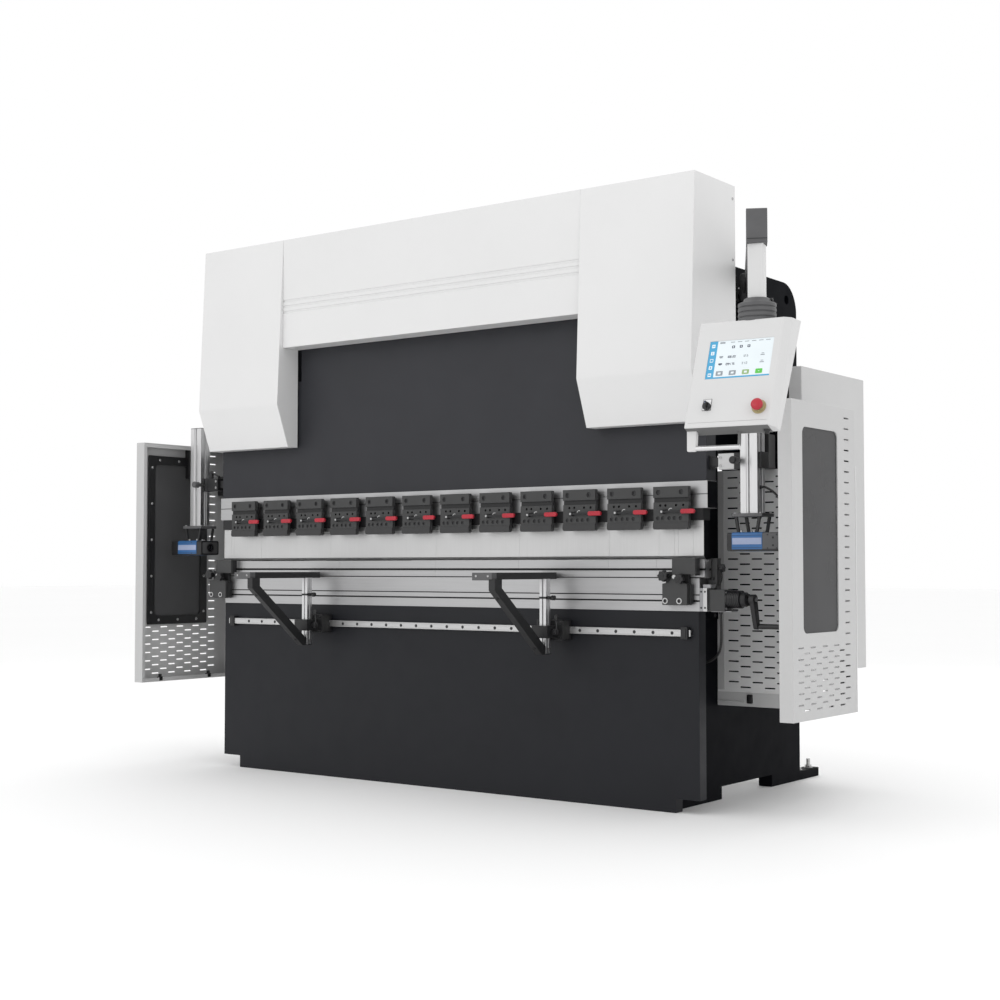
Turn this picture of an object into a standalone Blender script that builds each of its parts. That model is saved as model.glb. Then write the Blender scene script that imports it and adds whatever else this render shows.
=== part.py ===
"""CNC hydraulic press brake, 2.5 m class, as an assembly of separate pieces.

Metres, +Z up, +X along the machine, +Y towards its back. The origin is on the floor,
under the bending line, at the middle of the machine's length.
"""
import math

import bmesh
import bpy
from mathutils import Matrix, Vector

# ---------------------------------------------------------------- driving sizes
GAP = 0.0003                  # clearance between pieces that touch
SHEET = 0.004                 # casing and guard sheet

FRAME_OUT = 1.085             # C-frames
FRAME_IN = 1.025
FRAME_REAR = 1.060
FRAME_TOP = 2.078
FRAME_ARM_FRONT = 0.130
FOOT_RAISE = 0.048
THROAT_DEPTH = 0.505
THROAT_TOP = 1.340
THROAT_RADIUS = 0.080
SIDE_PLATE = 0.006            # plate that covers the throat's mouth from outside

BED_HALF = 1.215              # lower beam and what stands on it
BED_NOTCH = 1.116
BED_NOTCH_UP = 0.051
BED_FRONT = -0.025
BED_BACK = 0.025
TABLE_LOW = 0.729
TABLE_TOP = 0.848
TABLE_BACK = 0.035
DIE_HALF = 1.239
DIE_TOP = 0.916

RAM_HALF = 1.245              # upper beam at its lower stop
RAM_FRONT = -0.017
RAM_BACK = 0.053
RAM_LOW = 1.101
RAM_SHOULDER = 1.700
RAM_TOP = 1.950
BAND_HALF = 1.251
BAND_FRONT = -0.022
BAND_TOP = 1.200

CLAMP_COUNT = 12
CLAMP_PITCH = 0.199
CLAMP_SHIFT = 0.0265
CLAMP_HALF = 0.0735
CLAMP_FRONT = -0.060
CLAMP_BACK = BAND_FRONT - GAP
CLAMP_LOW = 1.025
LEVER_PIVOT = -0.029
LEVER_REACH = 0.135
LEVER_HEIGHT = 1.089
HOLDER_HALF = 1.233
HOLDER_LOW = 1.058
PUNCH_TIP = 0.9205

HOUSING_OUT = 1.260           # white casings
HOUSING_IN = 0.773
HOUSING_TOP = 2.307
HOUSING_LOW = 1.410
HOUSING_KNEE = 1.589
HOUSING_BACK = 0.185
CASING_FRONT = -0.120
CASING_WALL = 0.006
FASCIA_LOW = 1.837
FASCIA_GROOVES = (1.991, 2.015, 2.039)

CYL_X = 1.010                 # hydraulic cylinders
CYL_Y = 0.018
CYL_RADIUS = 0.100
CYL_LOW = 1.885
CYL_TOP = 2.270
ROD_RADIUS = 0.060
ROD_TOP = 2.000

GUARD_OUT = 1.640             # side guards
GUARD_DEPTH = 0.052
GUARD_REAR = 0.380
GUARD_LOW = 0.362
GUARD_TOP = 1.462
PANEL_FRONT = 0.350
PANEL_TOP = 1.257
STRIP_BACK = 0.387

CAB_IN = FRAME_OUT + 0.0103   # electrical cabinet and its deep door
CAB_OUT = 1.350
CAB_FRONT = 0.530
CAB_REAR = 1.006
CAB_LOW = 0.490
CAB_TOP = 1.644
CAB_WALL = 0.008
CAB_DOOR_OUT = 1.404
CAB_DOOR_Y = (0.436, 1.012)
CAB_DOOR_Z = (0.484, 1.650)
CAB_DOOR_WALL = 0.006

POST_X = 1.418                # light-guard posts
POST_Y = 0.004
POST_HALF_X = 0.034
POST_HALF_Y = 0.029
POST_LOW = 1.078
POST_TOP = 1.530
UNIT_TOP = 1.011
UNIT_LOW = 0.944
UNIT_HALF_Y = 0.056

RAIL_LOW = 0.637              # sheet supports on the bed
RAIL_TOP = 0.663
RAIL_FRONT = -0.0433
SUPPORT_X = (-0.622, 0.607)
SUPPORT_POST = 0.030
SUPPORT_Y = -0.120
SLAB_TOP = 0.868
SLAB_THICK = 0.025
SLAB_WIDTH = 0.090
SLAB_FRONT = -0.456
SLAB_BACK = -0.040

ARM_X = 1.150                 # pendant arm, pivot and drop tube
ARM_Y = 0.530
DROP_X = 1.664
DROP_Y = -0.4325
DROP_TURN = math.radians(15.0)
ARM_LOW = 1.958
ARM_SIZE = 0.060
PIVOT_RADIUS = 0.028
TUBE_LOW = 1.756
TUBE_TOP = 1.9347
PANEL_YAW = math.radians(5.0)
PANEL_TILT = math.radians(21.0)
PANEL_WIDTH = 0.306
PANEL_BEVEL = 0.026
PANEL_HEIGHT = 0.378
PANEL_DEPTH_TOP = 0.108
PANEL_DEPTH_LOW = 0.052
PANEL_DROP = 0.020             # the underside is square to the leaning face
PANEL_SHIFT = -0.020
PANEL_FRONT_TOP = 0.060
PANEL_ROOF = 1.682
STOP_PLACE = (0.094, -0.127)
SWITCH_PLACE = (-0.084, -0.116)

CRANK_Y = 0.010               # crowning crank
CRANK_Z = 0.773
CRANK_REACH = 0.098
CRANK_LEAN = math.radians(14.0)

GAUGE_RAIL_TOP = 0.715        # back gauge
GAUGE_BEAM_Y = 0.420

STEEL = (0.62, 0.62, 0.63)
DARK_STEEL = (0.045, 0.048, 0.055)
SLATE = (0.060, 0.064, 0.075)
WHITE = (0.80, 0.80, 0.80)
LIGHT_GREY = (0.62, 0.62, 0.62)
BLACK = (0.015, 0.015, 0.016)
CLAMP_GREY = (0.09, 0.09, 0.095)
RED = (0.65, 0.02, 0.03)
BLUE = (0.05, 0.20, 0.50)
SMOKE = (0.07, 0.07, 0.075)


# ---------------------------------------------------------------- modelling helpers
def clear_scene():
    for item in list(bpy.data.objects):
        bpy.data.objects.remove(item, do_unlink=True)


def material(name, colour, roughness, metallic):
    mat = bpy.data.materials.new(name)
    mat.use_nodes = True
    shader = mat.node_tree.nodes["Principled BSDF"]
    shader.inputs["Base Color"].default_value = (*colour, 1.0)
    shader.inputs["Roughness"].default_value = roughness
    shader.inputs["Metallic"].default_value = metallic
    return mat


def bmesh_object(name, bm):
    bmesh.ops.recalc_face_normals(bm, faces=bm.faces)
    mesh = bpy.data.meshes.new(name)
    bm.to_mesh(mesh)
    bm.free()
    item = bpy.data.objects.new(name, mesh)
    bpy.context.collection.objects.link(item)
    return item


def prism(points, axis, low, high):
    """Closed solid: a flat outline of (u, v) points pushed along an axis.

    For axis X the outline is (y, z), for Y it is (x, z), for Z it is (x, y).
    """
    def place(u, v, w):
        return {"X": (w, u, v), "Y": (u, w, v), "Z": (u, v, w)}[axis]

    bm = bmesh.new()
    rings = [[bm.verts.new(place(u, v, w)) for u, v in points] for w in (low, high)]
    bm.faces.new(rings[0])
    bm.faces.new(rings[1])
    count = len(points)
    for i in range(count):
        j = (i + 1) % count
        bm.faces.new((rings[0][i], rings[0][j], rings[1][j], rings[1][i]))
    return bmesh_object("shape", bm)


def box(x, y, z):
    return prism([(x[0], y[0]), (x[1], y[0]), (x[1], y[1]), (x[0], y[1])], "Z", z[0], z[1])


def arc(centre, radius, start, end, steps=6):
    """Points on an arc, angles in degrees."""
    points = []
    for i in range(steps + 1):
        angle = math.radians(start + (end - start) * i / steps)
        points.append((centre[0] + radius * math.cos(angle), centre[1] + radius * math.sin(angle)))
    return points


def round_bar(centre, radius, axis, low, high, sides=24):
    """Round bar; centre is (y, z), (x, z) or (x, y) as in prism."""
    points = arc(centre, radius, 0.0, 360.0 - 360.0 / sides, sides - 1)
    return prism(points, axis, low, high)


def rounded(u, v, radius, steps=4):
    """Outline of a rectangle with round corners."""
    corners = (((u[1] - radius, v[1] - radius), 0), ((u[0] + radius, v[1] - radius), 90),
               ((u[0] + radius, v[0] + radius), 180), ((u[1] - radius, v[0] + radius), 270))
    points = []
    for centre, start in corners:
        points += arc(centre, radius, start, start + 90, steps)
    return points


def solid(add, cut=()):
    """One mesh: the first shape joined with the others, less the cutters."""
    base = add[0]
    for operation, tools in (("UNION", add[1:]), ("DIFFERENCE", cut)):
        for tool in tools:
            tool.hide_render = True
            tool.display_type = "WIRE"
            step = base.modifiers.new(operation.lower(), "BOOLEAN")
            step.operation = operation
            step.object = tool
            step.solver = "EXACT"
    bpy.context.view_layer.update()
    depsgraph = bpy.context.evaluated_depsgraph_get()
    mesh = bpy.data.meshes.new_from_object(base.evaluated_get(depsgraph))
    for item in (*add, *cut):
        bpy.data.objects.remove(item, do_unlink=True)
    return mesh


def piece(name, shape, mat, origin=(0.0, 0.0, 0.0), smooth=False):
    """Named piece from a mesh or a shape, with its origin where it turns or slides."""
    if isinstance(shape, bpy.types.Object):
        mesh = shape.data
        bpy.data.objects.remove(shape, do_unlink=True)
    else:
        mesh = shape
    mesh.name = name
    mesh.transform(Matrix.Translation(-Vector(origin)))
    item = bpy.data.objects.new(name, mesh)
    item.location = origin
    bpy.context.collection.objects.link(item)
    mesh.materials.clear()
    mesh.materials.append(mat)
    if smooth:
        mesh.shade_smooth()
        mesh.set_sharp_from_angle(angle=math.radians(35.0))
    return item


def span(side, low, high):
    """An X span on the right (side 1) or mirrored to the left (side -1)."""
    return (low, high) if side > 0 else (-high, -low)


# ---------------------------------------------------------------- structure
def c_frame_outline():
    corner = 0.120
    throat = THROAT_DEPTH - THROAT_RADIUS
    points = [(BED_BACK + GAP, 0.0), (0.380, 0.0), (0.380, FOOT_RAISE), (0.801, FOOT_RAISE), (0.801, 0.0),
              (1.240, 0.0), (1.240, 0.036), (FRAME_REAR, 0.036)]
    points += arc((FRAME_REAR - corner, FRAME_TOP - corner), corner, 0, 90, 6)
    points += [(FRAME_ARM_FRONT, FRAME_TOP), (FRAME_ARM_FRONT, 1.690), (0.058, 1.690), (0.058, THROAT_TOP)]
    points += arc((throat, THROAT_TOP - THROAT_RADIUS), THROAT_RADIUS, 90, 0, 5)
    low = TABLE_LOW - GAP
    points += arc((throat, low + THROAT_RADIUS), THROAT_RADIUS, 0, -90, 5)
    points += [(BED_BACK + GAP, low)]
    return points


def c_frame(side, mat):
    name = "c_frame_right" if side > 0 else "c_frame_left"
    inner, outer = span(side, FRAME_IN, FRAME_OUT)
    add = [prism(c_frame_outline(), "X", inner, outer)]
    add.append(box(span(side, 1.005, 1.030), (0.120, 0.820), (0.690, GAUGE_RAIL_TOP)))
    add.append(box(span(side, FRAME_OUT - 0.002, FRAME_OUT + SIDE_PLATE), (0.060, PANEL_FRONT - GAP), (0.690, 1.380)))
    cut = [round_bar((0.967, 2.007), 0.019, "X", inner - 0.01, outer + 0.01, 16),
           round_bar((0.547, 1.963), 0.011, "X", inner - 0.01, outer + 0.01, 12)]
    if side > 0:
        boss = [(FRAME_OUT - 0.005, ARM_Y - 0.045), (ARM_X, ARM_Y - 0.045)]
        boss += arc((ARM_X, ARM_Y), 0.045, -90, 90, 8)[1:-1]
        boss += [(ARM_X, ARM_Y + 0.045), (FRAME_OUT - 0.005, ARM_Y + 0.045)]
        add.append(prism(boss, "Z", 1.850, 1.930))
        add.append(round_bar((ARM_X, ARM_Y), PIVOT_RADIUS, "Z", 1.920, 2.034, 20))
    piece(name, solid(add, cut), mat)


def bed_plate(mat):
    points = [(-BED_NOTCH, 0.0), (BED_NOTCH, 0.0), (BED_NOTCH, BED_NOTCH_UP), (BED_HALF, BED_NOTCH_UP),
              (BED_HALF, TABLE_LOW - GAP), (-BED_HALF, TABLE_LOW - GAP), (-BED_HALF, BED_NOTCH_UP),
              (-BED_NOTCH, BED_NOTCH_UP)]
    piece("bed_plate", prism(points, "Y", BED_FRONT, BED_BACK), mat)


def crowning_table(mat):
    front = BED_FRONT
    points = [(front, TABLE_LOW), (TABLE_BACK, TABLE_LOW), (TABLE_BACK, TABLE_TOP), (front, TABLE_TOP),
              (front, 0.790), (front + 0.003, 0.790), (front + 0.003, 0.786), (front, 0.786),
              (front, 0.769), (front + 0.010, 0.769), (front + 0.010, 0.763), (front, 0.763)]
    piece("crowning_table", prism(points, "X", -BED_HALF, 1.218), mat)


def lower_die(mat):
    half = 0.025
    waist = 0.012
    left = [(-0.020, TABLE_TOP + GAP), (-0.020, 0.852), (-half, 0.852), (-half, 0.876), (-waist, 0.876),
            (-waist, 0.884), (-half, 0.884), (-half, DIE_TOP), (-0.008, DIE_TOP)]
    points = left + [(0.0, DIE_TOP - 0.012)] + [(-y, z) for y, z in reversed(left)]
    piece("lower_die", prism(points, "X", -DIE_HALF, DIE_HALF), mat)


def guide_rail(mat):
    rail = box((-1.170, 1.185), (RAIL_FRONT, BED_FRONT - GAP), (RAIL_LOW, RAIL_TOP))
    piece("guide_rail", rail, mat)


def rear_tie_beam(mat):
    points = [(0.880, 0.300), (0.960, 0.300), (0.960, 0.315), (0.895, 0.315), (0.895, 0.545), (0.960, 0.545),
              (0.960, 0.560), (0.880, 0.560)]
    reach = FRAME_IN - GAP
    piece("rear_tie_beam", prism(points, "X", -reach, reach), mat)


def hydraulic_unit(mat):
    reach = FRAME_IN - GAP
    add = [box((-0.620, 0.620), (0.220, 0.620), (1.700, 2.000)),
           box((-reach, reach), (0.380, 0.460), (1.740, 1.820)),
           box((-0.260, 0.140), (0.340, 0.500), (1.995, 2.030)),
           round_bar((0.420, 2.120), 0.100, "X", -0.260, 0.080, 28),
           round_bar((0.420, 2.120), 0.060, "X", 0.075, 0.240, 20),
           box((0.300, 0.500), (0.330, 0.510), (1.995, 2.090)),
           round_bar((-0.480, 0.420), 0.040, "Z", 1.995, 2.035, 16)]
    piece("hydraulic_unit", solid(add), mat, smooth=True)


# ---------------------------------------------------------------- ram and tools
def ram(mat):
    points = [(-RAM_HALF, RAM_LOW), (RAM_HALF, RAM_LOW), (RAM_HALF, RAM_SHOULDER), (0.760, RAM_SHOULDER),
              (0.760, RAM_TOP), (-0.760, RAM_TOP), (-0.760, RAM_SHOULDER), (-RAM_HALF, RAM_SHOULDER)]
    add = [prism(points, "Y", RAM_FRONT, RAM_BACK),
           box((-BAND_HALF, BAND_HALF), (BAND_FRONT, RAM_BACK), (RAM_LOW, BAND_TOP))]
    piece("ram", solid(add), mat)


def hydraulic_cylinder(side, mat):
    x = side * CYL_X
    add = [round_bar((x, CYL_Y), CYL_RADIUS, "Z", CYL_LOW, CYL_TOP, 32),
           box((x - 0.110, x + 0.110), (0.100, FRAME_ARM_FRONT - GAP), (1.900, 2.060))]
    cut = [round_bar((x, CYL_Y), ROD_RADIUS + 0.001, "Z", CYL_LOW - 0.01, 2.200, 32)]
    piece("cylinder_right" if side > 0 else "cylinder_left", solid(add, cut), mat, smooth=True)


def piston_rod(side, mat):
    x = side * CYL_X
    foot = RAM_SHOULDER + GAP
    add = [round_bar((x, CYL_Y), ROD_RADIUS, "Z", foot, ROD_TOP, 32),
           round_bar((x, CYL_Y), 0.080, "Z", foot, 1.725, 32)]
    name = "piston_rod_right" if side > 0 else "piston_rod_left"
    piece(name, solid(add), mat, smooth=True)


def clamp_centre(index):
    return CLAMP_SHIFT + (index - (CLAMP_COUNT - 1) / 2) * CLAMP_PITCH


def tool_clamps(mat):
    """The black tool holder bar with the row of clamps bolted along it."""
    bar = box((-HOLDER_HALF, HOLDER_HALF), (-0.025, 0.030), (HOLDER_LOW, RAM_LOW - GAP))
    profile = [(CLAMP_BACK, 1.181), (CLAMP_FRONT - 0.002, 1.181), (CLAMP_FRONT - 0.002, 1.140),
               (-0.045, 1.140), (-0.045, 1.124), (CLAMP_FRONT, 1.124), (CLAMP_FRONT, 1.050),
               (CLAMP_FRONT - 0.004, 1.050), (CLAMP_FRONT - 0.004, CLAMP_LOW + 0.006),
               (CLAMP_FRONT + 0.002, CLAMP_LOW), (CLAMP_BACK, CLAMP_LOW)]
    clamps = []
    for i in range(CLAMP_COUNT):
        x = clamp_centre(i)
        clamps.append(prism(profile, "X", x - CLAMP_HALF, x + CLAMP_HALF))
    piece("tool_clamps", solid([bar, *clamps]), mat)


def punch(mat):
    top = HOLDER_LOW - 0.0005
    points = [(-0.017, top), (-0.017, 0.936), (-0.002, PUNCH_TIP), (0.002, PUNCH_TIP), (0.017, 0.936), (0.017, top)]
    piece("punch", prism(points, "X", -1.2325, 1.2325), mat)


def clamp_lever_mesh():
    """Lever about its pivot at the origin, lying along +X."""
    outline = arc((0.0, 0.0), 0.009, 40, 320, 8)
    outline += [(0.068, -0.004), (0.072, -0.0085)]
    outline += arc((LEVER_REACH - 0.0085, 0.0), 0.0085, -90, 90, 6)
    outline += [(0.072, 0.0085), (0.068, 0.004)]
    blade = prism(outline, "Y", -0.019, -0.0065)
    hub = round_bar((0.0, 0.0), 0.0075, "Y", -0.012, -GAP, 12)
    return solid([blade, hub])


def clamp_levers(mat):
    mesh = clamp_lever_mesh()
    for i in range(CLAMP_COUNT):
        item = piece(f"clamp_lever_{i + 1:02d}", mesh.copy(), mat)
        item.location = (clamp_centre(i) + LEVER_PIVOT, CLAMP_FRONT, LEVER_HEIGHT)


# ---------------------------------------------------------------- casings
def housing(side, mat):
    wall = CASING_WALL
    knee = CASING_FRONT - 0.033
    chin = CASING_FRONT + 0.035
    outer = [(CASING_FRONT, HOUSING_TOP), (knee, HOUSING_KNEE), (chin, HOUSING_LOW),
             (HOUSING_BACK, HOUSING_LOW), (HOUSING_BACK, HOUSING_TOP)]
    inner = [(CASING_FRONT + wall, HOUSING_TOP - wall), (knee + wall, HOUSING_KNEE + 0.001),
             (chin + wall * 0.75, HOUSING_LOW + wall), (HOUSING_BACK + 0.05, HOUSING_LOW + wall),
             (HOUSING_BACK + 0.05, HOUSING_TOP - wall)]
    behind = RAM_FRONT - 0.008
    x_in, x_out = span(side, HOUSING_IN + wall, HOUSING_OUT - wall)
    add = [prism(outer, "X", *span(side, HOUSING_IN, HOUSING_OUT))]
    cut = [prism(inner, "X", x_in, x_out),
           box(span(side, HOUSING_IN - 0.01, HOUSING_IN + wall + 0.001), (behind, HOUSING_BACK + 0.05),
               (HOUSING_LOW - 0.01, HOUSING_TOP - wall)),
           box(span(side, HOUSING_IN - 0.01, HOUSING_OUT - wall), (behind, HOUSING_BACK + 0.05),
               (HOUSING_LOW - 0.01, HOUSING_LOW + wall + 0.001))]
    piece("housing_right" if side > 0 else "housing_left", solid(add, cut), mat)


def fascia(mat):
    back = CASING_FRONT + 0.008
    lip = RAM_FRONT - 0.008
    points = [(CASING_FRONT, FASCIA_LOW), (lip, FASCIA_LOW), (lip, FASCIA_LOW + CASING_WALL),
              (back, FASCIA_LOW + CASING_WALL), (back, HOUSING_TOP - CASING_WALL),
              (HOUSING_BACK, HOUSING_TOP - CASING_WALL), (HOUSING_BACK, HOUSING_TOP), (CASING_FRONT, HOUSING_TOP)]
    for z in reversed(FASCIA_GROOVES):
        points += [(CASING_FRONT, z + 0.006), (CASING_FRONT + 0.004, z + 0.004),
                   (CASING_FRONT + 0.004, z - 0.004), (CASING_FRONT, z - 0.006)]
    reach = HOUSING_IN - GAP
    piece("fascia", prism(points, "X", -reach, reach), mat)


# ---------------------------------------------------------------- guards and cabinet
def window_span(side):
    return (-0.058, 0.228) if side > 0 else (-0.088, 0.205)


def guard_door(side, mat, window_mat):
    front = -0.141 if side > 0 else -0.184
    window = window_span(side)
    word = "right" if side > 0 else "left"
    inner = GUARD_OUT - GUARD_DEPTH
    add = [box(span(side, inner, GUARD_OUT), (front, GUARD_REAR), (GUARD_LOW, GUARD_TOP))]
    hole = rounded(window, (0.660, 1.372), 0.025)
    cut = [box(span(side, inner - 0.01, GUARD_OUT - SHEET), (front + SHEET, GUARD_REAR - SHEET),
               (GUARD_LOW + SHEET, GUARD_TOP - SHEET)),
           prism(hole, "X", *span(side, inner, GUARD_OUT + 0.01))]
    axis = (side * GUARD_OUT, GUARD_REAR + 0.002, GUARD_LOW)
    piece(f"guard_door_{word}", solid(add, cut), mat, axis)
    pane = rounded((window[0] - 0.014, window[1] + 0.014), (0.646, 1.386), 0.030)
    reach = span(side, GUARD_OUT - SHEET - 0.006, GUARD_OUT - SHEET - GAP)
    piece(f"guard_window_{word}", prism(pane, "X", *reach), window_mat, axis)


def guard_panel(side, mat):
    inner = FRAME_OUT + GAP
    outer = GUARD_OUT - GUARD_DEPTH - 0.004
    sheet = SHEET
    points = [(inner, PANEL_FRONT), (outer, PANEL_FRONT), (outer, STRIP_BACK - sheet + GAP),
              (GUARD_OUT, STRIP_BACK - sheet + GAP), (GUARD_OUT, STRIP_BACK), (outer - sheet, STRIP_BACK),
              (outer - sheet, PANEL_FRONT + sheet), (inner + sheet, PANEL_FRONT + sheet),
              (inner + sheet, STRIP_BACK), (inner, STRIP_BACK)]
    points = [(side * x, y) for x, y in points]
    name = "guard_panel_right" if side > 0 else "guard_panel_left"
    piece(name, prism(points, "Z", GUARD_LOW, PANEL_TOP), mat)


def electrical_cabinet(mat, door_mat):
    wall = CAB_WALL
    add = [box((CAB_IN, CAB_OUT), (CAB_FRONT, CAB_REAR), (CAB_LOW, CAB_TOP)),
           box((FRAME_OUT + GAP, CAB_IN + 0.004), (0.560, 0.960), (0.560, 0.640)),
           box((FRAME_OUT + GAP, CAB_IN + 0.004), (0.560, 0.960), (1.480, 1.560))]
    cut = [box((CAB_IN + wall, CAB_OUT + 0.01), (CAB_FRONT + wall, CAB_REAR - wall),
               (CAB_LOW + wall, CAB_TOP - wall))]
    piece("electrical_cabinet", solid(add, cut), mat)
    wall = CAB_DOOR_WALL
    (front, rear), (low, high) = CAB_DOOR_Y, CAB_DOOR_Z
    shell = box((CAB_OUT + GAP, CAB_DOOR_OUT), (front, rear), (low, high))
    hollow = box((CAB_OUT - 0.01, CAB_DOOR_OUT - wall), (front + wall, rear - wall), (low + wall, high - wall))
    piece("cabinet_door", solid([shell], [hollow]), door_mat, (CAB_DOOR_OUT, rear, low))


# ---------------------------------------------------------------- light guard
def light_post(side, mat, unit_mat):
    word = "right" if side > 0 else "left"
    x = side * POST_X
    add = [box((x - POST_HALF_X, x + POST_HALF_X), (POST_Y - POST_HALF_Y, POST_Y + POST_HALF_Y),
               (POST_LOW - 0.002, POST_TOP)),
           box((x - 0.060, x + 0.060), (POST_Y - 0.048, POST_Y + 0.048), (POST_LOW - 0.012, POST_LOW))]
    for across in (-0.052, 0.040):
        for along in (-0.045, 0.033):
            add.append(box((x + across, x + across + 0.012), (POST_Y + along, POST_Y + along + 0.012),
                           (UNIT_TOP + GAP, POST_LOW - 0.010)))
    piece(f"light_post_{word}", solid(add), mat)
    ends = (1.343, 1.545) if side > 0 else (-1.547, -1.349)
    outline = rounded((POST_Y - UNIT_HALF_Y, POST_Y + UNIT_HALF_Y), (UNIT_LOW, UNIT_TOP), 0.010, 3)
    piece(f"light_unit_{word}", prism(outline, "X", *ends), unit_mat)


def post_clamp(side, mat):
    low, high = 1.238, 1.295
    add = [box(span(side, RAM_HALF + GAP, 1.300), (0.004, 0.030), (low + 0.012, high - 0.012)),
           box(span(side, 1.288, POST_X - POST_HALF_X - 0.010), (-0.010, 0.030), (low, high)),
           box(span(side, POST_X - POST_HALF_X - 0.023, POST_X + POST_HALF_X + 0.010),
               (POST_Y - 0.018, POST_Y + POST_HALF_Y + 0.012), (low, high)),
           round_bar((side * 1.378, 1.266), 0.0045, "Y", -0.040, -0.008, 12),
           round_bar((side * 1.378, 1.266), 0.014, "Y", -0.075, -0.030, 14)]
    slack = 0.0006
    cut = [box(span(side, POST_X - POST_HALF_X - slack, POST_X + POST_HALF_X + slack),
               (POST_Y - POST_HALF_Y - 0.010, POST_Y + POST_HALF_Y + slack), (low - 0.01, high + 0.01))]
    piece("post_clamp_right" if side > 0 else "post_clamp_left", solid(add, cut), mat)


# ---------------------------------------------------------------- front supports
def support(name, x, carriage_mat, arm_mat):
    half = SUPPORT_POST / 2
    slack = 0.0006
    behind = SUPPORT_Y + half
    add = [box((x - 0.060, x + 0.060), (-0.090, RAIL_FRONT - 0.0005), (0.612, 0.688)),
           box((x - 0.060, x + 0.060), (-0.050, -0.030), (RAIL_TOP + 0.0005, 0.688)),
           box((x - 0.060, x + 0.060), (-0.050, -0.030), (0.612, RAIL_LOW - 0.0005)),
           box((x - 0.036, x + 0.036), (-0.158, -0.085), (0.622, 0.668))]
    cut = [box((x - half - slack, x + half + slack), (SUPPORT_Y - half - slack, behind + slack), (0.60, 0.70))]
    piece(f"support_carriage_{name}", solid(add, cut), carriage_mat, (x, RAIL_FRONT, RAIL_LOW))
    brace = [(SLAB_FRONT, SLAB_TOP - SLAB_THICK + 0.002), (SLAB_FRONT, 0.803), (-0.160, 0.560), (behind, 0.560),
             (behind, 0.580), (-0.1425, 0.594), (-0.412, 0.812), (-0.412, SLAB_TOP - SLAB_THICK + 0.002)]
    add = [box((x - SLAB_WIDTH, x), (SLAB_FRONT, SLAB_BACK), (SLAB_TOP - SLAB_THICK, SLAB_TOP)),
           box((x - half, x + half), (SUPPORT_Y - half, behind), (0.577, SLAB_TOP - SLAB_THICK + 0.002)),
           prism(brace, "X", x - half + 0.0005, x + half - 0.0005)]
    piece(f"support_arm_{name}", solid(add), arm_mat, (x, SUPPORT_Y, 0.577))


# ---------------------------------------------------------------- bed ends
def end_clamp(name, x, mat):
    """Stop block at one end of the bed; x is the left edge of its lower block."""
    back = BED_FRONT - 0.0005
    add = [box((x, x + 0.103), (-0.060, back), (0.751, 0.830)),
           box((x + 0.041, x + 0.137), (-0.060, back), (0.862, 0.921)),
           box((x + 0.003, x + 0.100), (-0.040, back), (0.820, 0.872)),
           round_bar((x + 0.012, 0.856), 0.021, "Y", -0.082, -0.050, 12),
           round_bar((x + 0.012, 0.856), 0.008, "Y", -0.055, -0.035, 10),
           round_bar((x + 0.077, 0.846), 0.012, "Y", -0.082, -0.035, 12)]
    piece(f"end_clamp_{name}", solid(add), mat)


def crank_drive(mat):
    add = [box((1.218 + GAP, 1.258), (BED_FRONT, TABLE_BACK), (TABLE_LOW, 0.813)),
           box((1.256, 1.318), (-0.022, 0.042), (0.728, 0.808)),
           box((1.2225, 1.260), (0.030, 0.060), (0.800, 0.920)),
           round_bar((CRANK_Y, CRANK_Z), 0.032, "X", 1.316, 1.372, 24),
           round_bar((CRANK_Y, CRANK_Z), 0.026, "X", 1.370, 1.392, 20),
           round_bar((CRANK_Y, CRANK_Z), 0.009, "X", 1.390, 1.404, 14)]
    piece("crank_drive", solid(add), mat, smooth=True)


def crank_handle(mat):
    x = 1.404 + GAP
    foot = (CRANK_Y + CRANK_REACH * math.sin(CRANK_LEAN), CRANK_Z - CRANK_REACH * math.cos(CRANK_LEAN))
    lean = math.degrees(CRANK_LEAN)
    arm = arc((CRANK_Y, CRANK_Z), 0.017, lean, 180 + lean, 8) + arc(foot, 0.0115, 180 + lean, 360 + lean, 8)
    add = [prism(arm, "X", x, x + 0.020), round_bar(foot, 0.0095, "X", x + 0.010, x + 0.110, 14)]
    piece("crank_handle", solid(add), mat, (x, CRANK_Y, CRANK_Z), smooth=True)


# ---------------------------------------------------------------- pendant
def arm_direction():
    reach = Vector((DROP_X - ARM_X, DROP_Y - ARM_Y, 0.0))
    return reach.normalized(), reach.length


def pendant_arm(mat):
    direction, length = arm_direction()
    turn = Matrix.Rotation(math.atan2(direction.y, direction.x), 4, "Z")
    place = Matrix.Translation((ARM_X, ARM_Y, 0.0)) @ turn
    half = ARM_SIZE / 2
    tube = box((0.035, length), (-half, half), (ARM_LOW, ARM_LOW + ARM_SIZE))
    elbow = prism([(-0.036, TUBE_TOP + GAP), (0.036, TUBE_TOP + GAP), (0.036, 2.018), (0.030, 2.050),
                   (-0.030, 2.050), (-0.036, 2.018)], "Y", -0.034, 0.034)
    elbow.data.transform(Matrix.Translation((length, 0.0, 0.0)))
    hub = round_bar((0.0, 0.0), 0.050, "Z", 1.930 + GAP, 2.041, 28)
    hole = round_bar((0.0, 0.0), PIVOT_RADIUS + 0.0006, "Z", 1.920, 2.0355, 20)
    for item in (tube, elbow, hub, hole):
        item.data.transform(place)
    piece("pendant_arm", solid([tube, elbow, hub], [hole]), mat, (ARM_X, ARM_Y, ARM_LOW), smooth=True)


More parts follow.
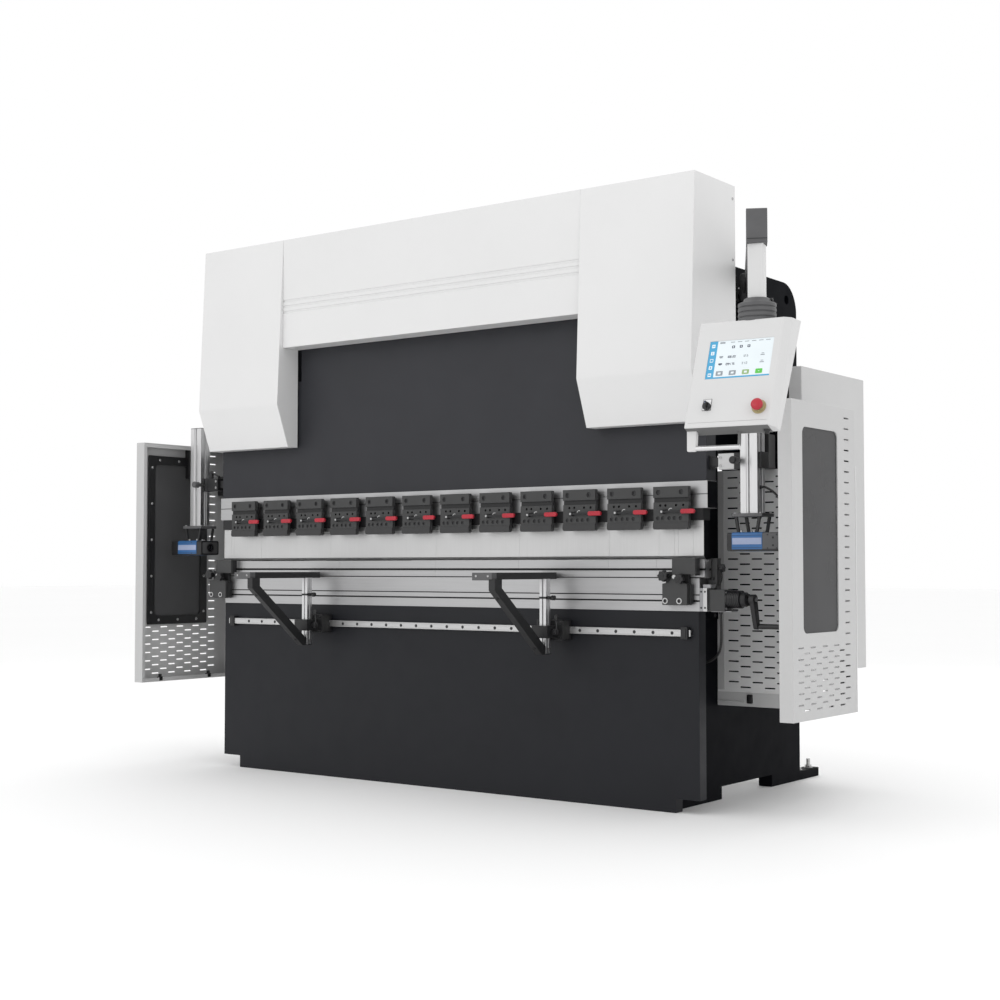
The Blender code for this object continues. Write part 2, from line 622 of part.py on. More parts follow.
def drop_tube(mat):
    tube = box((-0.026, 0.026), (-0.026, 0.026), (TUBE_LOW - 0.004, TUBE_TOP))
    collar = round_bar((0.0, 0.0), 0.054, "Z", 1.738, TUBE_LOW, 28)
    mesh = solid([tube, collar])
    mesh.transform(Matrix.Translation((DROP_X, DROP_Y, 0.0)) @ Matrix.Rotation(DROP_TURN, 4, "Z"))
    piece("drop_tube", mesh, mat, (DROP_X, DROP_Y, TUBE_TOP))


def panel_frame():
    """World matrix whose X runs across the panel, Y up its face and Z out of it."""
    out = Vector((math.sin(PANEL_YAW), -math.cos(PANEL_YAW), 0.0))
    across = Vector((math.cos(PANEL_YAW), math.sin(PANEL_YAW), 0.0))
    normal = out * math.cos(PANEL_TILT) + Vector((0.0, 0.0, math.sin(PANEL_TILT)))
    upward = normal.cross(across)
    middle = PANEL_FRONT_TOP + PANEL_HEIGHT * math.sin(PANEL_TILT) / 2
    height = PANEL_ROOF - PANEL_HEIGHT * math.cos(PANEL_TILT) / 2
    centre = Vector((DROP_X, DROP_Y, height)) + out * middle + across * PANEL_SHIFT
    rows = Matrix((across, upward, normal)).transposed().to_4x4()
    return Matrix.Translation(centre) @ rows


def control_panel(mat):
    yaw = Matrix.Translation((DROP_X, DROP_Y, 0.0)) @ Matrix.Rotation(PANEL_YAW, 4, "Z")
    floor = PANEL_ROOF - PANEL_HEIGHT * math.cos(PANEL_TILT)
    lean = PANEL_HEIGHT * math.sin(PANEL_TILT)
    half = PANEL_WIDTH / 2
    front = -PANEL_FRONT_TOP
    side = [(front, PANEL_ROOF), (front - lean, floor), (front - lean + PANEL_DEPTH_LOW, floor - PANEL_DROP),
            (front + PANEL_DEPTH_TOP, PANEL_ROOF)]
    shell = prism(side, "X", PANEL_SHIFT - half, PANEL_SHIFT + half)
    corner = prism([(half - PANEL_BEVEL, -0.010), (half + 0.010, -0.010), (half + 0.010, PANEL_BEVEL * 1.5)],
                   "Z", -0.300, 0.300)
    rows = Matrix(((1, 0, 0), (0, math.cos(PANEL_TILT), math.sin(PANEL_TILT)),
                   (0, -math.sin(PANEL_TILT), math.cos(PANEL_TILT)))).to_4x4()
    corner.data.transform(Matrix.Translation((PANEL_SHIFT, front - lean / 2, (PANEL_ROOF + floor) / 2)) @ rows)
    swivel = round_bar((0.0, 0.0), 0.062, "Z", 1.660, 1.738 - GAP, 32)
    grip_y = front - lean + 0.030
    left = PANEL_SHIFT - half + 0.001
    right = left + 0.190
    low = floor - 0.074
    grip = [(left, floor + 0.004), (left, low), (right, low), (right, floor + 0.004),
            (right - 0.018, floor + 0.004), (right - 0.018, low + 0.018), (left + 0.018, low + 0.018),
            (left + 0.018, floor + 0.004)]
    handle = prism(grip, "Y", grip_y - 0.009, grip_y + 0.009)
    for item in (shell, swivel, handle, corner):
        item.data.transform(yaw)
    bore = round_bar(STOP_PLACE, 0.0105, "Z", -0.020, 0.010, 16)
    bore.data.transform(panel_frame())
    origin = (DROP_X, DROP_Y, 1.738)
    piece("control_panel", solid([shell, swivel, handle], [corner, bore]), mat, origin, smooth=True)


def panel_controls(red, black):
    frame = panel_frame()
    stem = round_bar((0.0, 0.0), 0.0098, "Z", -0.008, 0.016, 16)
    head = round_bar((0.0, 0.0), 0.019, "Z", 0.014, 0.030, 24)
    button = piece("stop_button", solid([stem, head]), red, smooth=True)
    button.matrix_world = frame @ Matrix.Translation((*STOP_PLACE, 0.0))
    skirt = round_bar((0.0, 0.0), 0.013, "Z", GAP, 0.010, 20)
    bar = prism(rounded((-0.004, 0.004), (-0.012, 0.012), 0.003, 3), "Z", 0.008, 0.020)
    switch = piece("mode_switch", solid([skirt, bar]), black, smooth=True)
    switch.matrix_world = frame @ Matrix.Translation((*SWITCH_PLACE, 0.0))


# ---------------------------------------------------------------- back gauge and leads
def back_gauge(mat):
    """Rear stop beam with its end carriages and two fingers, on rails inside the frames."""
    y = GAUGE_BEAM_Y
    add = [box((-0.990, 0.990), (y, y + 0.080), (0.790, 0.870))]
    for side in (-1, 1):
        add.append(box(span(side, 0.955, 1.003), (y - 0.060, y + 0.140), (GAUGE_RAIL_TOP + 0.0005, 0.800)))
        finger = side * 0.450
        add.append(box((finger - 0.030, finger + 0.030), (y - 0.200, y + 0.060), (0.868, 0.900)))
        add.append(box((finger - 0.022, finger + 0.022), (y - 0.205, y - 0.180), (0.895, 0.935)))
    piece("back_gauge", solid(add), mat, (0.0, y, GAUGE_RAIL_TOP))


def lead(name, route, radius, mat, count=28):
    """Round lead on a smooth curve through the route's points."""
    points = [Vector(p) for p in route]
    points = [points[0] * 2 - points[1], *points, points[-1] * 2 - points[-2]]
    spans = len(points) - 3
    samples = []
    for k in range(count):
        place = k / (count - 1) * spans
        i = min(int(place), spans - 1)
        t = place - i
        a, b, c, d = points[i:i + 4]
        samples.append(0.5 * ((2 * b) + (c - a) * t + (2 * a - 5 * b + 4 * c - d) * t ** 2
                              + (3 * b - a - 3 * c + d) * t ** 3))
    curve = bpy.data.curves.new(name, "CURVE")
    curve.dimensions = "3D"
    curve.bevel_depth = radius
    curve.bevel_resolution = 2
    curve.use_fill_caps = True
    spline = curve.splines.new("POLY")
    spline.points.add(count - 1)
    for target, p in zip(spline.points, samples):
        target.co = (*p, 1.0)
    curve.materials.append(mat)
    item = bpy.data.objects.new(name, curve)
    bpy.context.collection.objects.link(item)


LIGHT_LEAD = [(1.4528, 0.004, 1.170), (1.468, 0.004, 1.170), (1.502, 0.004, 1.150), (1.532, 0.004, 1.112),
              (1.556, 0.004, 1.060), (1.568, 0.004, 1.005), (1.564, 0.004, 0.972), (1.555, 0.004, 0.9625),
              (1.5458, 0.004, 0.9625)]
CRANK_LEAD = [(1.284, 0.012, 0.7274), (1.284, 0.012, 0.704), (1.280, 0.022, 0.655), (1.266, 0.045, 0.612),
              (1.238, 0.078, 0.575), (1.195, 0.105, 0.548), (1.145, 0.120, 0.534), (1.0856, 0.124, 0.530)]


def build():
    clear_scene()
    paint = material("bed_paint", DARK_STEEL, 0.45, 0.2)
    slate = material("ram_paint", SLATE, 0.45, 0.2)
    white = material("white_paint", WHITE, 0.40, 0.0)
    grey = material("grey_paint", LIGHT_GREY, 0.45, 0.0)
    steel = material("machined_steel", STEEL, 0.35, 0.9)
    black = material("black_finish", BLACK, 0.50, 0.2)
    clamp = material("clamp_finish", CLAMP_GREY, 0.50, 0.3)
    red = material("red_plastic", RED, 0.35, 0.0)
    blue = material("blue_cover", BLUE, 0.40, 0.0)
    smoke = material("smoke_pane", SMOKE, 0.15, 0.0)

    for side in (-1, 1):
        c_frame(side, paint)
        hydraulic_cylinder(side, black)
        piston_rod(side, steel)
        housing(side, white)
        guard_door(side, white, smoke)
        guard_panel(side, grey)
        light_post(side, steel, blue)
        post_clamp(side, black)
    bed_plate(paint)
    crowning_table(steel)
    lower_die(steel)
    guide_rail(steel)
    rear_tie_beam(paint)
    hydraulic_unit(paint)
    ram(slate)
    tool_clamps(clamp)
    punch(steel)
    clamp_levers(red)
    fascia(white)
    electrical_cabinet(paint, grey)
    for name, x in zip(("left", "right"), SUPPORT_X):
        support(name, x, black, black)
    end_clamp("left", -1.282, clamp)
    end_clamp("right", 1.083, clamp)
    crank_drive(clamp)
    crank_handle(black)
    pendant_arm(clamp)
    drop_tube(white)
    control_panel(white)
    panel_controls(red, black)
    back_gauge(steel)
    lead("light_lead", LIGHT_LEAD, 0.004, black)
    lead("crank_lead", CRANK_LEAD, 0.0045, black)


build()
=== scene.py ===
"""Looks of the CNC press brake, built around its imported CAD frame.

Metres, +Z up, +X along the machine, +Y towards its back, origin on the floor under the
bending line. Every piece is drawn where its CAD node is and rides on that node's body.
"""

import math

import bmesh
import bpy
from mathutils import Matrix, Vector


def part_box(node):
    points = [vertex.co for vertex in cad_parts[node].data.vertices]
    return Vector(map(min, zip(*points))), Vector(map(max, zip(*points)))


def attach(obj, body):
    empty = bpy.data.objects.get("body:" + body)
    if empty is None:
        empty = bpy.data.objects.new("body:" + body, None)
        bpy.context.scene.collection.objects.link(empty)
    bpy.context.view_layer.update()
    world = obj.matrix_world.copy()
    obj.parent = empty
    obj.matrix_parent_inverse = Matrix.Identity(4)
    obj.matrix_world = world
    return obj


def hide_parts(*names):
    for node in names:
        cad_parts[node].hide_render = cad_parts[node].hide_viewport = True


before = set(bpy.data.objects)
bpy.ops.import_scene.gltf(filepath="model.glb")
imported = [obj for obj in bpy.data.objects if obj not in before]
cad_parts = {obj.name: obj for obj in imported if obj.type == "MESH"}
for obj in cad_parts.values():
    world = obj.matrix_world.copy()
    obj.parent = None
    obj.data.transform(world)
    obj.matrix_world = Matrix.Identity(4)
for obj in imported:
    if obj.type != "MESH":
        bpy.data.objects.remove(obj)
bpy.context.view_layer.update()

# ---------------------------------------------------------------- shape helpers
SHARP = math.radians(28.0)


def place(axis, u, v, w):
    """A point of an outline (u, v) at w along the axis."""
    return {"X": (w, u, v), "Y": (u, w, v), "Z": (u, v, w)}[axis]


def soften(bm, width, segments=2):
    """Rounds every sharp edge of a closed shape."""
    bmesh.ops.recalc_face_normals(bm, faces=bm.faces)
    if width <= 0.0:
        return bm
    edges = [e for e in bm.edges if len(e.link_faces) == 2 and e.calc_face_angle(0.0) > SHARP]
    bmesh.ops.bevel(bm, geom=edges, offset=width, segments=segments, profile=0.5,
                    affect="EDGES", clamp_overlap=True)
    return bm


def prism(points, axis, low, high, bevel=0.0, segments=2):
    """Solid pushed from an outline: (y, z) along X, (x, z) along Y or (x, y) along Z."""
    bm = bmesh.new()
    rings = [[bm.verts.new(place(axis, u, v, w)) for u, v in points] for w in (low, high)]
    bm.faces.new(rings[0])
    bm.faces.new(rings[1])
    for i in range(len(points)):
        j = (i + 1) % len(points)
        bm.faces.new((rings[0][i], rings[0][j], rings[1][j], rings[1][i]))
    return soften(bm, bevel, segments)


def block(x, y, z, bevel=0.0, segments=2):
    return prism([(x[0], y[0]), (x[1], y[0]), (x[1], y[1]), (x[0], y[1])], "Z", z[0], z[1], bevel, segments)


def arc(centre, radius, start, end, steps=8):
    """Points on an arc, angles in degrees."""
    points = []
    for i in range(steps + 1):
        angle = math.radians(start + (end - start) * i / steps)
        points.append((centre[0] + radius * math.cos(angle), centre[1] + radius * math.sin(angle)))
    return points


def rounded(u, v, radius, steps=6):
    """Outline of a rectangle with round corners."""
    centres = ((u[1], v[1], -1, -1, 0), (u[0], v[1], 1, -1, 90), (u[0], v[0], 1, 1, 180),
               (u[1], v[0], -1, 1, 270))
    points = []
    for cu, cv, su, sv, start in centres:
        points += arc((cu + su * radius, cv + sv * radius), radius, start, start + 90, steps)
    return points


def skin(bm, rings, closed=False):
    """Faces between rings of vertices; a closed skin joins the last to the first, an open one is capped."""
    for a, b in zip(rings, rings[1:] + rings[:1] if closed else rings[1:]):
        for i in range(len(a)):
            j = (i + 1) % len(a)
            bm.faces.new((a[i], a[j], b[j], b[i]))
    if not closed:
        bm.faces.new(rings[0])
        bm.faces.new(rings[-1])
    bmesh.ops.recalc_face_normals(bm, faces=bm.faces)
    return bm


def turned(profile, axis="Z", centre=(0.0, 0.0), sides=40):
    """Turned solid; the profile is (radius, distance along the axis) from end to end."""
    bm = bmesh.new()
    rings = []
    for radius, along in profile:
        ring = []
        for i in range(sides):
            angle = math.tau * i / sides
            u = centre[0] + radius * math.cos(angle)
            v = centre[1] + radius * math.sin(angle)
            ring.append(bm.verts.new(place(axis, u, v, along)))
        rings.append(ring)
    return skin(bm, rings)


def bar(centre, radius, axis, low, high, sides=36, edge=0.0008):
    """Round bar with slightly broken edges."""
    edge = min(edge, radius * 0.4, abs(high - low) * 0.4)
    profile = [(radius - edge, low), (radius, low + edge), (radius, high - edge), (radius - edge, high)]
    return turned(profile, axis, centre, sides)


def ring(centre, outer, inner, axis, low, high, sides=36):
    """Round sleeve with a hole through it."""
    bm = bmesh.new()
    loops = []
    for radius, along in ((inner, low), (outer, low), (outer, high), (inner, high)):
        loop = []
        for i in range(sides):
            angle = math.tau * i / sides
            point = place(axis, centre[0] + radius * math.cos(angle), centre[1] + radius * math.sin(angle),
                          along)
            loop.append(bm.verts.new(point))
        loops.append(loop)
    return skin(bm, loops, closed=True)


def aim(point, direction, turn=0.0):
    """Matrix that puts a shape drawn along +Z at a point, looking along a direction."""
    look = Vector(direction).to_track_quat("Z", "Y").to_matrix().to_4x4()
    return Matrix.Translation(point) @ look @ Matrix.Rotation(turn, 4, "Z")


def smooth_path(route, count):
    """Points along one smooth curve through the route."""
    points = [Vector(p) for p in route]
    points = [points[0] * 2 - points[1], *points, points[-1] * 2 - points[-2]]
    spans = len(points) - 3
    samples = []
    for k in range(count):
        where = k / (count - 1) * spans
        i = min(int(where), spans - 1)
        t = where - i
        a, b, c, d = points[i:i + 4]
        samples.append(0.5 * ((2 * b) + (c - a) * t + (2 * a - 5 * b + 4 * c - d) * t ** 2
                              + (3 * b - a - 3 * c + d) * t ** 3))
    return samples


def pipe(route, radius, count=24, sides=14):
    """Round pipe along a smooth path."""
    path = smooth_path(route, count)
    bm = bmesh.new()
    rings = []
    side = None
    for i, point in enumerate(path):
        ahead = (path[min(i + 1, count - 1)] - path[max(i - 1, 0)]).normalized()
        if side is None:
            side = ahead.orthogonal().normalized()
        side = (side - ahead * side.dot(ahead)).normalized()
        other = ahead.cross(side)
        loop = []
        for k in range(sides):
            angle = math.tau * k / sides
            loop.append(bm.verts.new(point + (side * math.cos(angle) + other * math.sin(angle)) * radius))
        rings.append(loop)
    return skin(bm, rings)


def merged(shapes):
    """Several shapes in one bmesh, as they are."""
    result = bmesh.new()
    for shape in shapes:
        mesh = bpy.data.meshes.new("part")
        shape.to_mesh(mesh)
        shape.free()
        result.from_mesh(mesh)
        bpy.data.meshes.remove(mesh)
    return result


def carved(shape, cutters, operation="DIFFERENCE", crossing=False):
    """A shape less the cutters, or joined with them; crossing is for cutters that overlap."""
    objects = []
    for item in (shape, merged(cutters)):
        mesh = bpy.data.meshes.new("carve")
        item.to_mesh(mesh)
        item.free()
        made = bpy.data.objects.new("carve", mesh)
        bpy.context.scene.collection.objects.link(made)
        objects.append(made)
    step = objects[0].modifiers.new("cut", "BOOLEAN")
    step.operation = operation
    step.object = objects[1]
    step.solver = "EXACT"
    step.use_self = crossing
    bpy.context.view_layer.update()
    made = bpy.data.meshes.new_from_object(objects[0].evaluated_get(bpy.context.evaluated_depsgraph_get()))
    result = bmesh.new()
    result.from_mesh(made)
    for item in objects:
        bpy.data.objects.remove(item, do_unlink=True)
    return result


def socket_screw(radius, height, sides=24):
    """Cap screw head with its hexagon socket, standing on z = 0."""
    edge = radius * 0.12
    flat = radius * 0.52
    depth = height * 0.6
    bm = bmesh.new()

    def hexagon(i):
        angle = math.tau * i / sides
        sector = (angle + math.pi / 6) % (math.pi / 3) - math.pi / 6
        reach = flat / math.cos(sector)
        return reach * math.cos(angle), reach * math.sin(angle)

    rings = []
    for reach, z in ((radius, 0.0), (radius, height - edge), (radius - edge, height)):
        rings.append([bm.verts.new((reach * math.cos(math.tau * i / sides),
                                    reach * math.sin(math.tau * i / sides), z)) for i in range(sides)])
    for z in (height, height - depth):
        rings.append([bm.verts.new((*hexagon(i), z)) for i in range(sides)])
    return skin(bm, rings)


def pan_screw(radius, height=0.0, sides=20):
    """Domed screw head, standing on z = 0."""
    height = height or radius * 0.55
    profile = [(radius, 0.0), (radius, height * 0.25), (radius * 0.86, height * 0.68),
               (radius * 0.5, height * 0.94),
               (radius * 0.3, height), (radius * 0.26, height * 0.5), (radius * 0.05, height * 0.5)]
    return turned(profile, sides=sides)


def hex_head(radius, height, sides=6):
    """Hexagon bolt head with a broken top edge and a washer face."""
    points = arc((0.0, 0.0), radius, 0, 360 - 360 / sides, sides - 1)
    return merged([prism(points, "Z", radius * 0.14, height, radius * 0.08, 1),
                   bar((0.0, 0.0), radius * 1.25, "Z", 0.0, radius * 0.16, 24, 0.0003)])


def slot_outline(u, v, length, height):
    """A slot with round ends, centred on (u, v), for perforated sheet."""
    half = length / 2 - height / 2
    return arc((u + half, v), height / 2, -90, 90, 3) + arc((u - half, v), height / 2, 90, 270, 3)


# ---------------------------------------------------------------- pieces
class Piece:
    """One visible piece: shapes gathered into a mesh, each with its own material."""

    def __init__(self, name):
        self.name = name
        self.bm = bmesh.new()
        self.mats = []

    def add(self, shape, mat, matrix=None):
        if matrix is not None:
            shape.transform(matrix)
        if mat not in self.mats:
            self.mats.append(mat)
        index = self.mats.index(mat)
        for face in shape.faces:
            face.material_index = index
        mesh = bpy.data.meshes.new("shape")
        shape.to_mesh(mesh)
        shape.free()
        self.bm.from_mesh(mesh)
        bpy.data.meshes.remove(mesh)
        return self

    def done(self, body, replaces=(), turn=None):
        """Makes the object; turn is a matrix that puts the whole piece in place."""
        if turn is not None:
            self.bm.transform(turn)
        mesh = bpy.data.meshes.new(self.name)
        self.bm.to_mesh(mesh)
        self.bm.free()
        for mat in self.mats:
            mesh.materials.append(mat)
        mesh.shade_smooth()
        mesh.set_sharp_from_angle(angle=math.radians(42.0))
        item = bpy.data.objects.new(self.name, mesh)
        bpy.context.scene.collection.objects.link(item)
        weighted = item.modifiers.new("normals", "WEIGHTED_NORMAL")
        weighted.keep_sharp = True
        weighted.weight = 70
        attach(item, body)
        if replaces:
            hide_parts(*replaces)
        return item


def sides(low, high):
    """The X span on the right, then its mirror image on the left."""
    return {1: (low, high), -1: (-high, -low)}


def word(side):
    return "right" if side > 0 else "left"


# ---------------------------------------------------------------- materials
def node_material(name):
    mat = bpy.data.materials.new(name)
    mat.use_nodes = True
    tree = mat.node_tree
    shader = tree.nodes["Principled BSDF"]
    coords = tree.nodes.new("ShaderNodeTexCoord")
    return mat, tree, shader, coords


def noise(tree, coords, scale, detail=4.0, stretch=(1.0, 1.0, 1.0), rough=0.55):
    mapping = tree.nodes.new("ShaderNodeMapping")
    mapping.inputs["Scale"].default_value = stretch
    texture = tree.nodes.new("ShaderNodeTexNoise")
    texture.inputs["Scale"].default_value = scale
    texture.inputs["Detail"].default_value = detail
    texture.inputs["Roughness"].default_value = rough
    tree.links.new(coords.outputs["Object"], mapping.inputs["Vector"])
    tree.links.new(mapping.outputs["Vector"], texture.inputs["Vector"])
    return texture.outputs["Fac"]


def spread(tree, source, low, high, start=0.3, end=0.7):
    """Maps a texture value to a range."""
    ranger = tree.nodes.new("ShaderNodeMapRange")
    ranger.inputs["From Min"].default_value = start
    ranger.inputs["From Max"].default_value = end
    ranger.inputs["To Min"].default_value = low
    ranger.inputs["To Max"].default_value = high
    tree.links.new(source, ranger.inputs["Value"])
    return ranger.outputs["Result"]


def blend_colours(tree, factor, dark, light):
    ramp = tree.nodes.new("ShaderNodeValToRGB")
    ramp.color_ramp.elements[0].position = 0.32
    ramp.color_ramp.elements[1].position = 0.68
    ramp.color_ramp.elements[0].color = (*dark, 1.0)
    ramp.color_ramp.elements[1].color = (*light, 1.0)
    tree.links.new(factor, ramp.inputs["Fac"])
    return ramp.outputs["Color"]


def raise_surface(tree, shader, height, distance, strength):
    bump = tree.nodes.new("ShaderNodeBump")
    bump.inputs["Strength"].default_value = strength
    bump.inputs["Distance"].default_value = distance
    tree.links.new(height, bump.inputs["Height"])
    tree.links.new(bump.outputs["Normal"], shader.inputs["Normal"])


def shade(colour, factor):
    return tuple(min(1.0, c * factor) for c in colour)


def enamel(name, colour, roughness, peel=0.12, vary=0.06, coat=0.0, level=0.5):
    """Sprayed or powder paint: orange peel, faint cloudiness and uneven gloss."""
    mat, tree, shader, coords = node_material(name)
    cloud = noise(tree, coords, 2.2, 3.0)
    fine = noise(tree, coords, 420.0, 2.0)
    colour_out = blend_colours(tree, cloud, shade(colour, 1.0 - vary), shade(colour, 1.0 + vary))
    tree.links.new(colour_out, shader.inputs["Base Color"])
    smear = noise(tree, coords, 11.0, 5.0)
    tree.links.new(spread(tree, smear, roughness - 0.05, roughness + 0.06), shader.inputs["Roughness"])
    shader.inputs["Coat Weight"].default_value = coat
    shader.inputs["Specular IOR Level"].default_value = level
    shader.inputs["Coat Roughness"].default_value = 0.25
    raise_surface(tree, shader, fine, 0.0004, peel)
    return mat


def metal(name, colour, roughness, stretch, scale=260.0, brush=0.10, vary=0.07):
    """Ground or drawn metal with its marks along one axis."""
    mat, tree, shader, coords = node_material(name)
    marks = noise(tree, coords, scale, 6.0, stretch, 0.65)
    cloud = noise(tree, coords, 5.0, 4.0)
    colour_out = blend_colours(tree, marks, shade(colour, 1.0 - vary), shade(colour, 1.0 + vary))
    tree.links.new(colour_out, shader.inputs["Base Color"])
    mixed = tree.nodes.new("ShaderNodeMath")
    mixed.operation = "MULTIPLY"
    tree.links.new(spread(tree, marks, 0.8, 1.25), mixed.inputs[0])
    tree.links.new(spread(tree, cloud, roughness * 0.85, roughness * 1.15), mixed.inputs[1])
    tree.links.new(mixed.outputs["Value"], shader.inputs["Roughness"])
    shader.inputs["Metallic"].default_value = 1.0
    raise_surface(tree, shader, marks, 0.0003, brush)
    return mat


def plastic(name, colour, roughness, grain=900.0, bump=0.1, vary=0.08):
    """Moulded plastic, rubber or a coarse textured coating."""
    mat, tree, shader, coords = node_material(name)
    fine = noise(tree, coords, grain, 3.0)
    cloud = noise(tree, coords, 14.0, 4.0)
    colour_out = blend_colours(tree, cloud, shade(colour, 1.0 - vary), shade(colour, 1.0 + vary))
    tree.links.new(colour_out, shader.inputs["Base Color"])
    tree.links.new(spread(tree, fine, roughness - 0.06, roughness + 0.06), shader.inputs["Roughness"])
    raise_surface(tree, shader, fine, 0.0003, bump)
    return mat


def glow(name, colour, strength, roughness=0.25):
    """Lit area of the screen, with the faint unevenness of its backlight."""
    mat, tree, shader, coords = node_material(name)
    cloud = noise(tree, coords, 9.0, 2.0)
    colour_out = blend_colours(tree, cloud, shade(colour, 0.97), shade(colour, 1.0))
    tree.links.new(colour_out, shader.inputs["Base Color"])
    tree.links.new(colour_out, shader.inputs["Emission Color"])
    shader.inputs["Emission Strength"].default_value = strength
    shader.inputs["Roughness"].default_value = roughness
    return mat


def tinted_pane(name, colour, clear):
    """Dark tinted polycarbonate, a little of what is behind shows through."""
    mat, tree, shader, coords = node_material(name)
    cloud = noise(tree, coords, 3.0, 3.0)
    colour_out = blend_colours(tree, cloud, shade(colour, 0.92), shade(colour, 1.08))
    tree.links.new(colour_out, shader.inputs["Base Color"])
    tree.links.new(spread(tree, noise(tree, coords, 30.0, 4.0), 0.10, 0.2), shader.inputs["Roughness"])
    shader.inputs["Alpha"].default_value = clear
    shader.inputs["Specular IOR Level"].default_value = 0.12
    raise_surface(tree, shader, noise(tree, coords, 1.5, 1.0), 0.002, 0.05)
    mat.surface_render_method = "BLENDED"
    return mat


ALONG_X = (0.012, 1.0, 1.0)
ALONG_Z = (1.0, 1.0, 0.012)

WHITE = enamel("white_enamel", (0.70, 0.70, 0.70), 0.42, 0.10, 0.012)
PANEL_WHITE = enamel("panel_enamel", (0.62, 0.62, 0.62), 0.38, 0.06, 0.012)
GUARD_WHITE = enamel("guard_white_enamel", (0.50, 0.50, 0.50), 0.44, 0.08, 0.012)
# Dark grey for the pendant's underside plate and its handle's right leg: in part a grey cover plate, in
# part painted shade of the underside.
UNDERSIDE_SHADE_GREY = enamel("underside_painted_shade", (0.15, 0.15, 0.15), 0.60, 0.08, 0.03, 0.0, 0.2)
LIGHT_GREY = enamel("grey_enamel", (0.53, 0.53, 0.53), 0.48, 0.10, 0.02)
# Light grey made brighter than the real paint: painted light on the slotted sheet, which sits in the
# guard's shade.
GUARD_SHEET_LIT = enamel("guard_sheet_painted_light", (0.74, 0.74, 0.74), 0.50, 0.10, 0.02)
BED_BLACK = enamel("bed_enamel", (0.0085, 0.0092, 0.0122), 0.46, 0.16, 0.10, 0.0, 0.26)
BASE_BLACK = enamel("base_enamel", (0.0042, 0.0046, 0.0062), 0.55, 0.18, 0.12, 0.0, 0.03)
RAM_SLATE = enamel("ram_enamel", (0.023, 0.0238, 0.0285), 0.44, 0.14, 0.08, 0.0, 0.30)
GROUND_X = metal("ground_steel", (0.46, 0.46, 0.465), 0.40, ALONG_X, 260.0, 0.06, 0.05)
GROUND_PALE = metal("ground_steel_pale", (0.56, 0.56, 0.56), 0.42, ALONG_Z, 220.0, 0.05, 0.04)
ANODISED = metal("anodised_aluminium", (0.66, 0.66, 0.665), 0.33, ALONG_Z, 300.0, 0.05, 0.03)
BRIGHT = metal("zinc_plate", (0.50, 0.50, 0.50), 0.28, (1.0, 1.0, 1.0), 90.0, 0.04, 0.05)
CHROME = metal("hard_chrome", (0.82, 0.82, 0.83), 0.10, ALONG_Z, 200.0, 0.02, 0.02)
BLACK_OXIDE = metal("black_oxide", (0.060, 0.060, 0.062), 0.42, ALONG_X, 200.0, 0.10, 0.16)
CLAMP_GREY = plastic("clamp_finish", (0.031, 0.0315, 0.032), 0.46, 700.0, 0.16)
CLAMP_LIP = plastic("clamp_lip", (0.026, 0.026, 0.027), 0.50, 700.0, 0.14)
# Near black for dark parts and, laid into grooves, gaps, holes and recesses, for painted shade.
DARK_AND_RECESS_SHADE = plastic("dark_parts_and_recess_shade", (0.006, 0.006, 0.007), 0.55, 700.0, 0.12)
BLACK_COAT = plastic("black_coat", (0.009, 0.009, 0.010), 0.50, 600.0, 0.22)
BLACK_PLASTIC = plastic("black_plastic", (0.010, 0.010, 0.011), 0.42, 900.0, 0.10)
DARK_PLASTIC = plastic("dark_plastic", (0.085, 0.085, 0.088), 0.48, 900.0, 0.12)
RUBBER = plastic("rubber", (0.018, 0.018, 0.018), 0.68, 500.0, 0.12)
RED_PLASTIC = plastic("red_plastic", (0.40, 0.012, 0.028), 0.34, 900.0, 0.06)
# Dull olive yellow: the stop button collar's painted shade, also the yellow of the cabinet's labels.
SHADED_YELLOW = plastic("yellow_plastic_painted_shade", (0.38, 0.32, 0.17), 0.42, 900.0, 0.06)
BLUE_COVER = plastic("blue_cover", (0.025, 0.115, 0.30), 0.36, 900.0, 0.05)
PALE_LABEL = plastic("pale_plate", (0.30, 0.35, 0.50), 0.40, 900.0, 0.03)
BRASS = metal("brass", (0.75, 0.55, 0.24), 0.30, (1.0, 1.0, 1.0), 120.0, 0.04, 0.06)
BLUE_STEEL = metal("dark_ground_steel", (0.33, 0.33, 0.34), 0.40, ALONG_X)
GLASS_DARK = plastic("lens_glass", (0.010, 0.010, 0.014), 0.08, 900.0, 0.0)
PANE = tinted_pane("tinted_pane", (0.060, 0.060, 0.062), 0.90)
SCREEN_WHITE = glow("screen_white", (0.70, 0.76, 0.79), 0.12)
SCREEN_BLUE = glow("screen_blue", (0.06, 0.33, 0.56), 0.10)
SCREEN_GREY = glow("screen_grey", (0.27, 0.30, 0.33), 0.04)
SCREEN_DARK = glow("screen_dark", (0.035, 0.04, 0.08), 0.0)
SCREEN_GREEN = glow("screen_green", (0.10, 0.50, 0.07), 0.10)
SCREEN_DULL = glow("screen_dull_green", (0.28, 0.42, 0.18), 0.06)

# ---------------------------------------------------------------- camera, light and floor
CAMERA_PLACE = (3.995, -4.994, 0.884)
CAMERA_TURN = (92.494, 0.0, 36.441)      # degrees about X, Y and Z
CAMERA_LENS = 56.44


def make_camera():
    data = bpy.data.cameras.new("camera")
    data.lens = CAMERA_LENS
    data.sensor_width = 36.0
    data.clip_end = 300.0
    item = bpy.data.objects.new("camera", data)
    item.location = CAMERA_PLACE
    item.rotation_euler = [math.radians(a) for a in CAMERA_TURN]
    bpy.context.scene.collection.objects.link(item)
    bpy.context.scene.camera = item


def softbox(name, place_at, target, size, power):
    data = bpy.data.lights.new(name, "AREA")
    data.shape = "RECTANGLE"
    data.size, data.size_y = size
    data.energy = power
    item = bpy.data.objects.new(name, data)
    item.location = place_at
    item.rotation_euler = (Vector(target) - Vector(place_at)).to_track_quat("-Z", "Y").to_euler()
    bpy.context.scene.collection.objects.link(item)


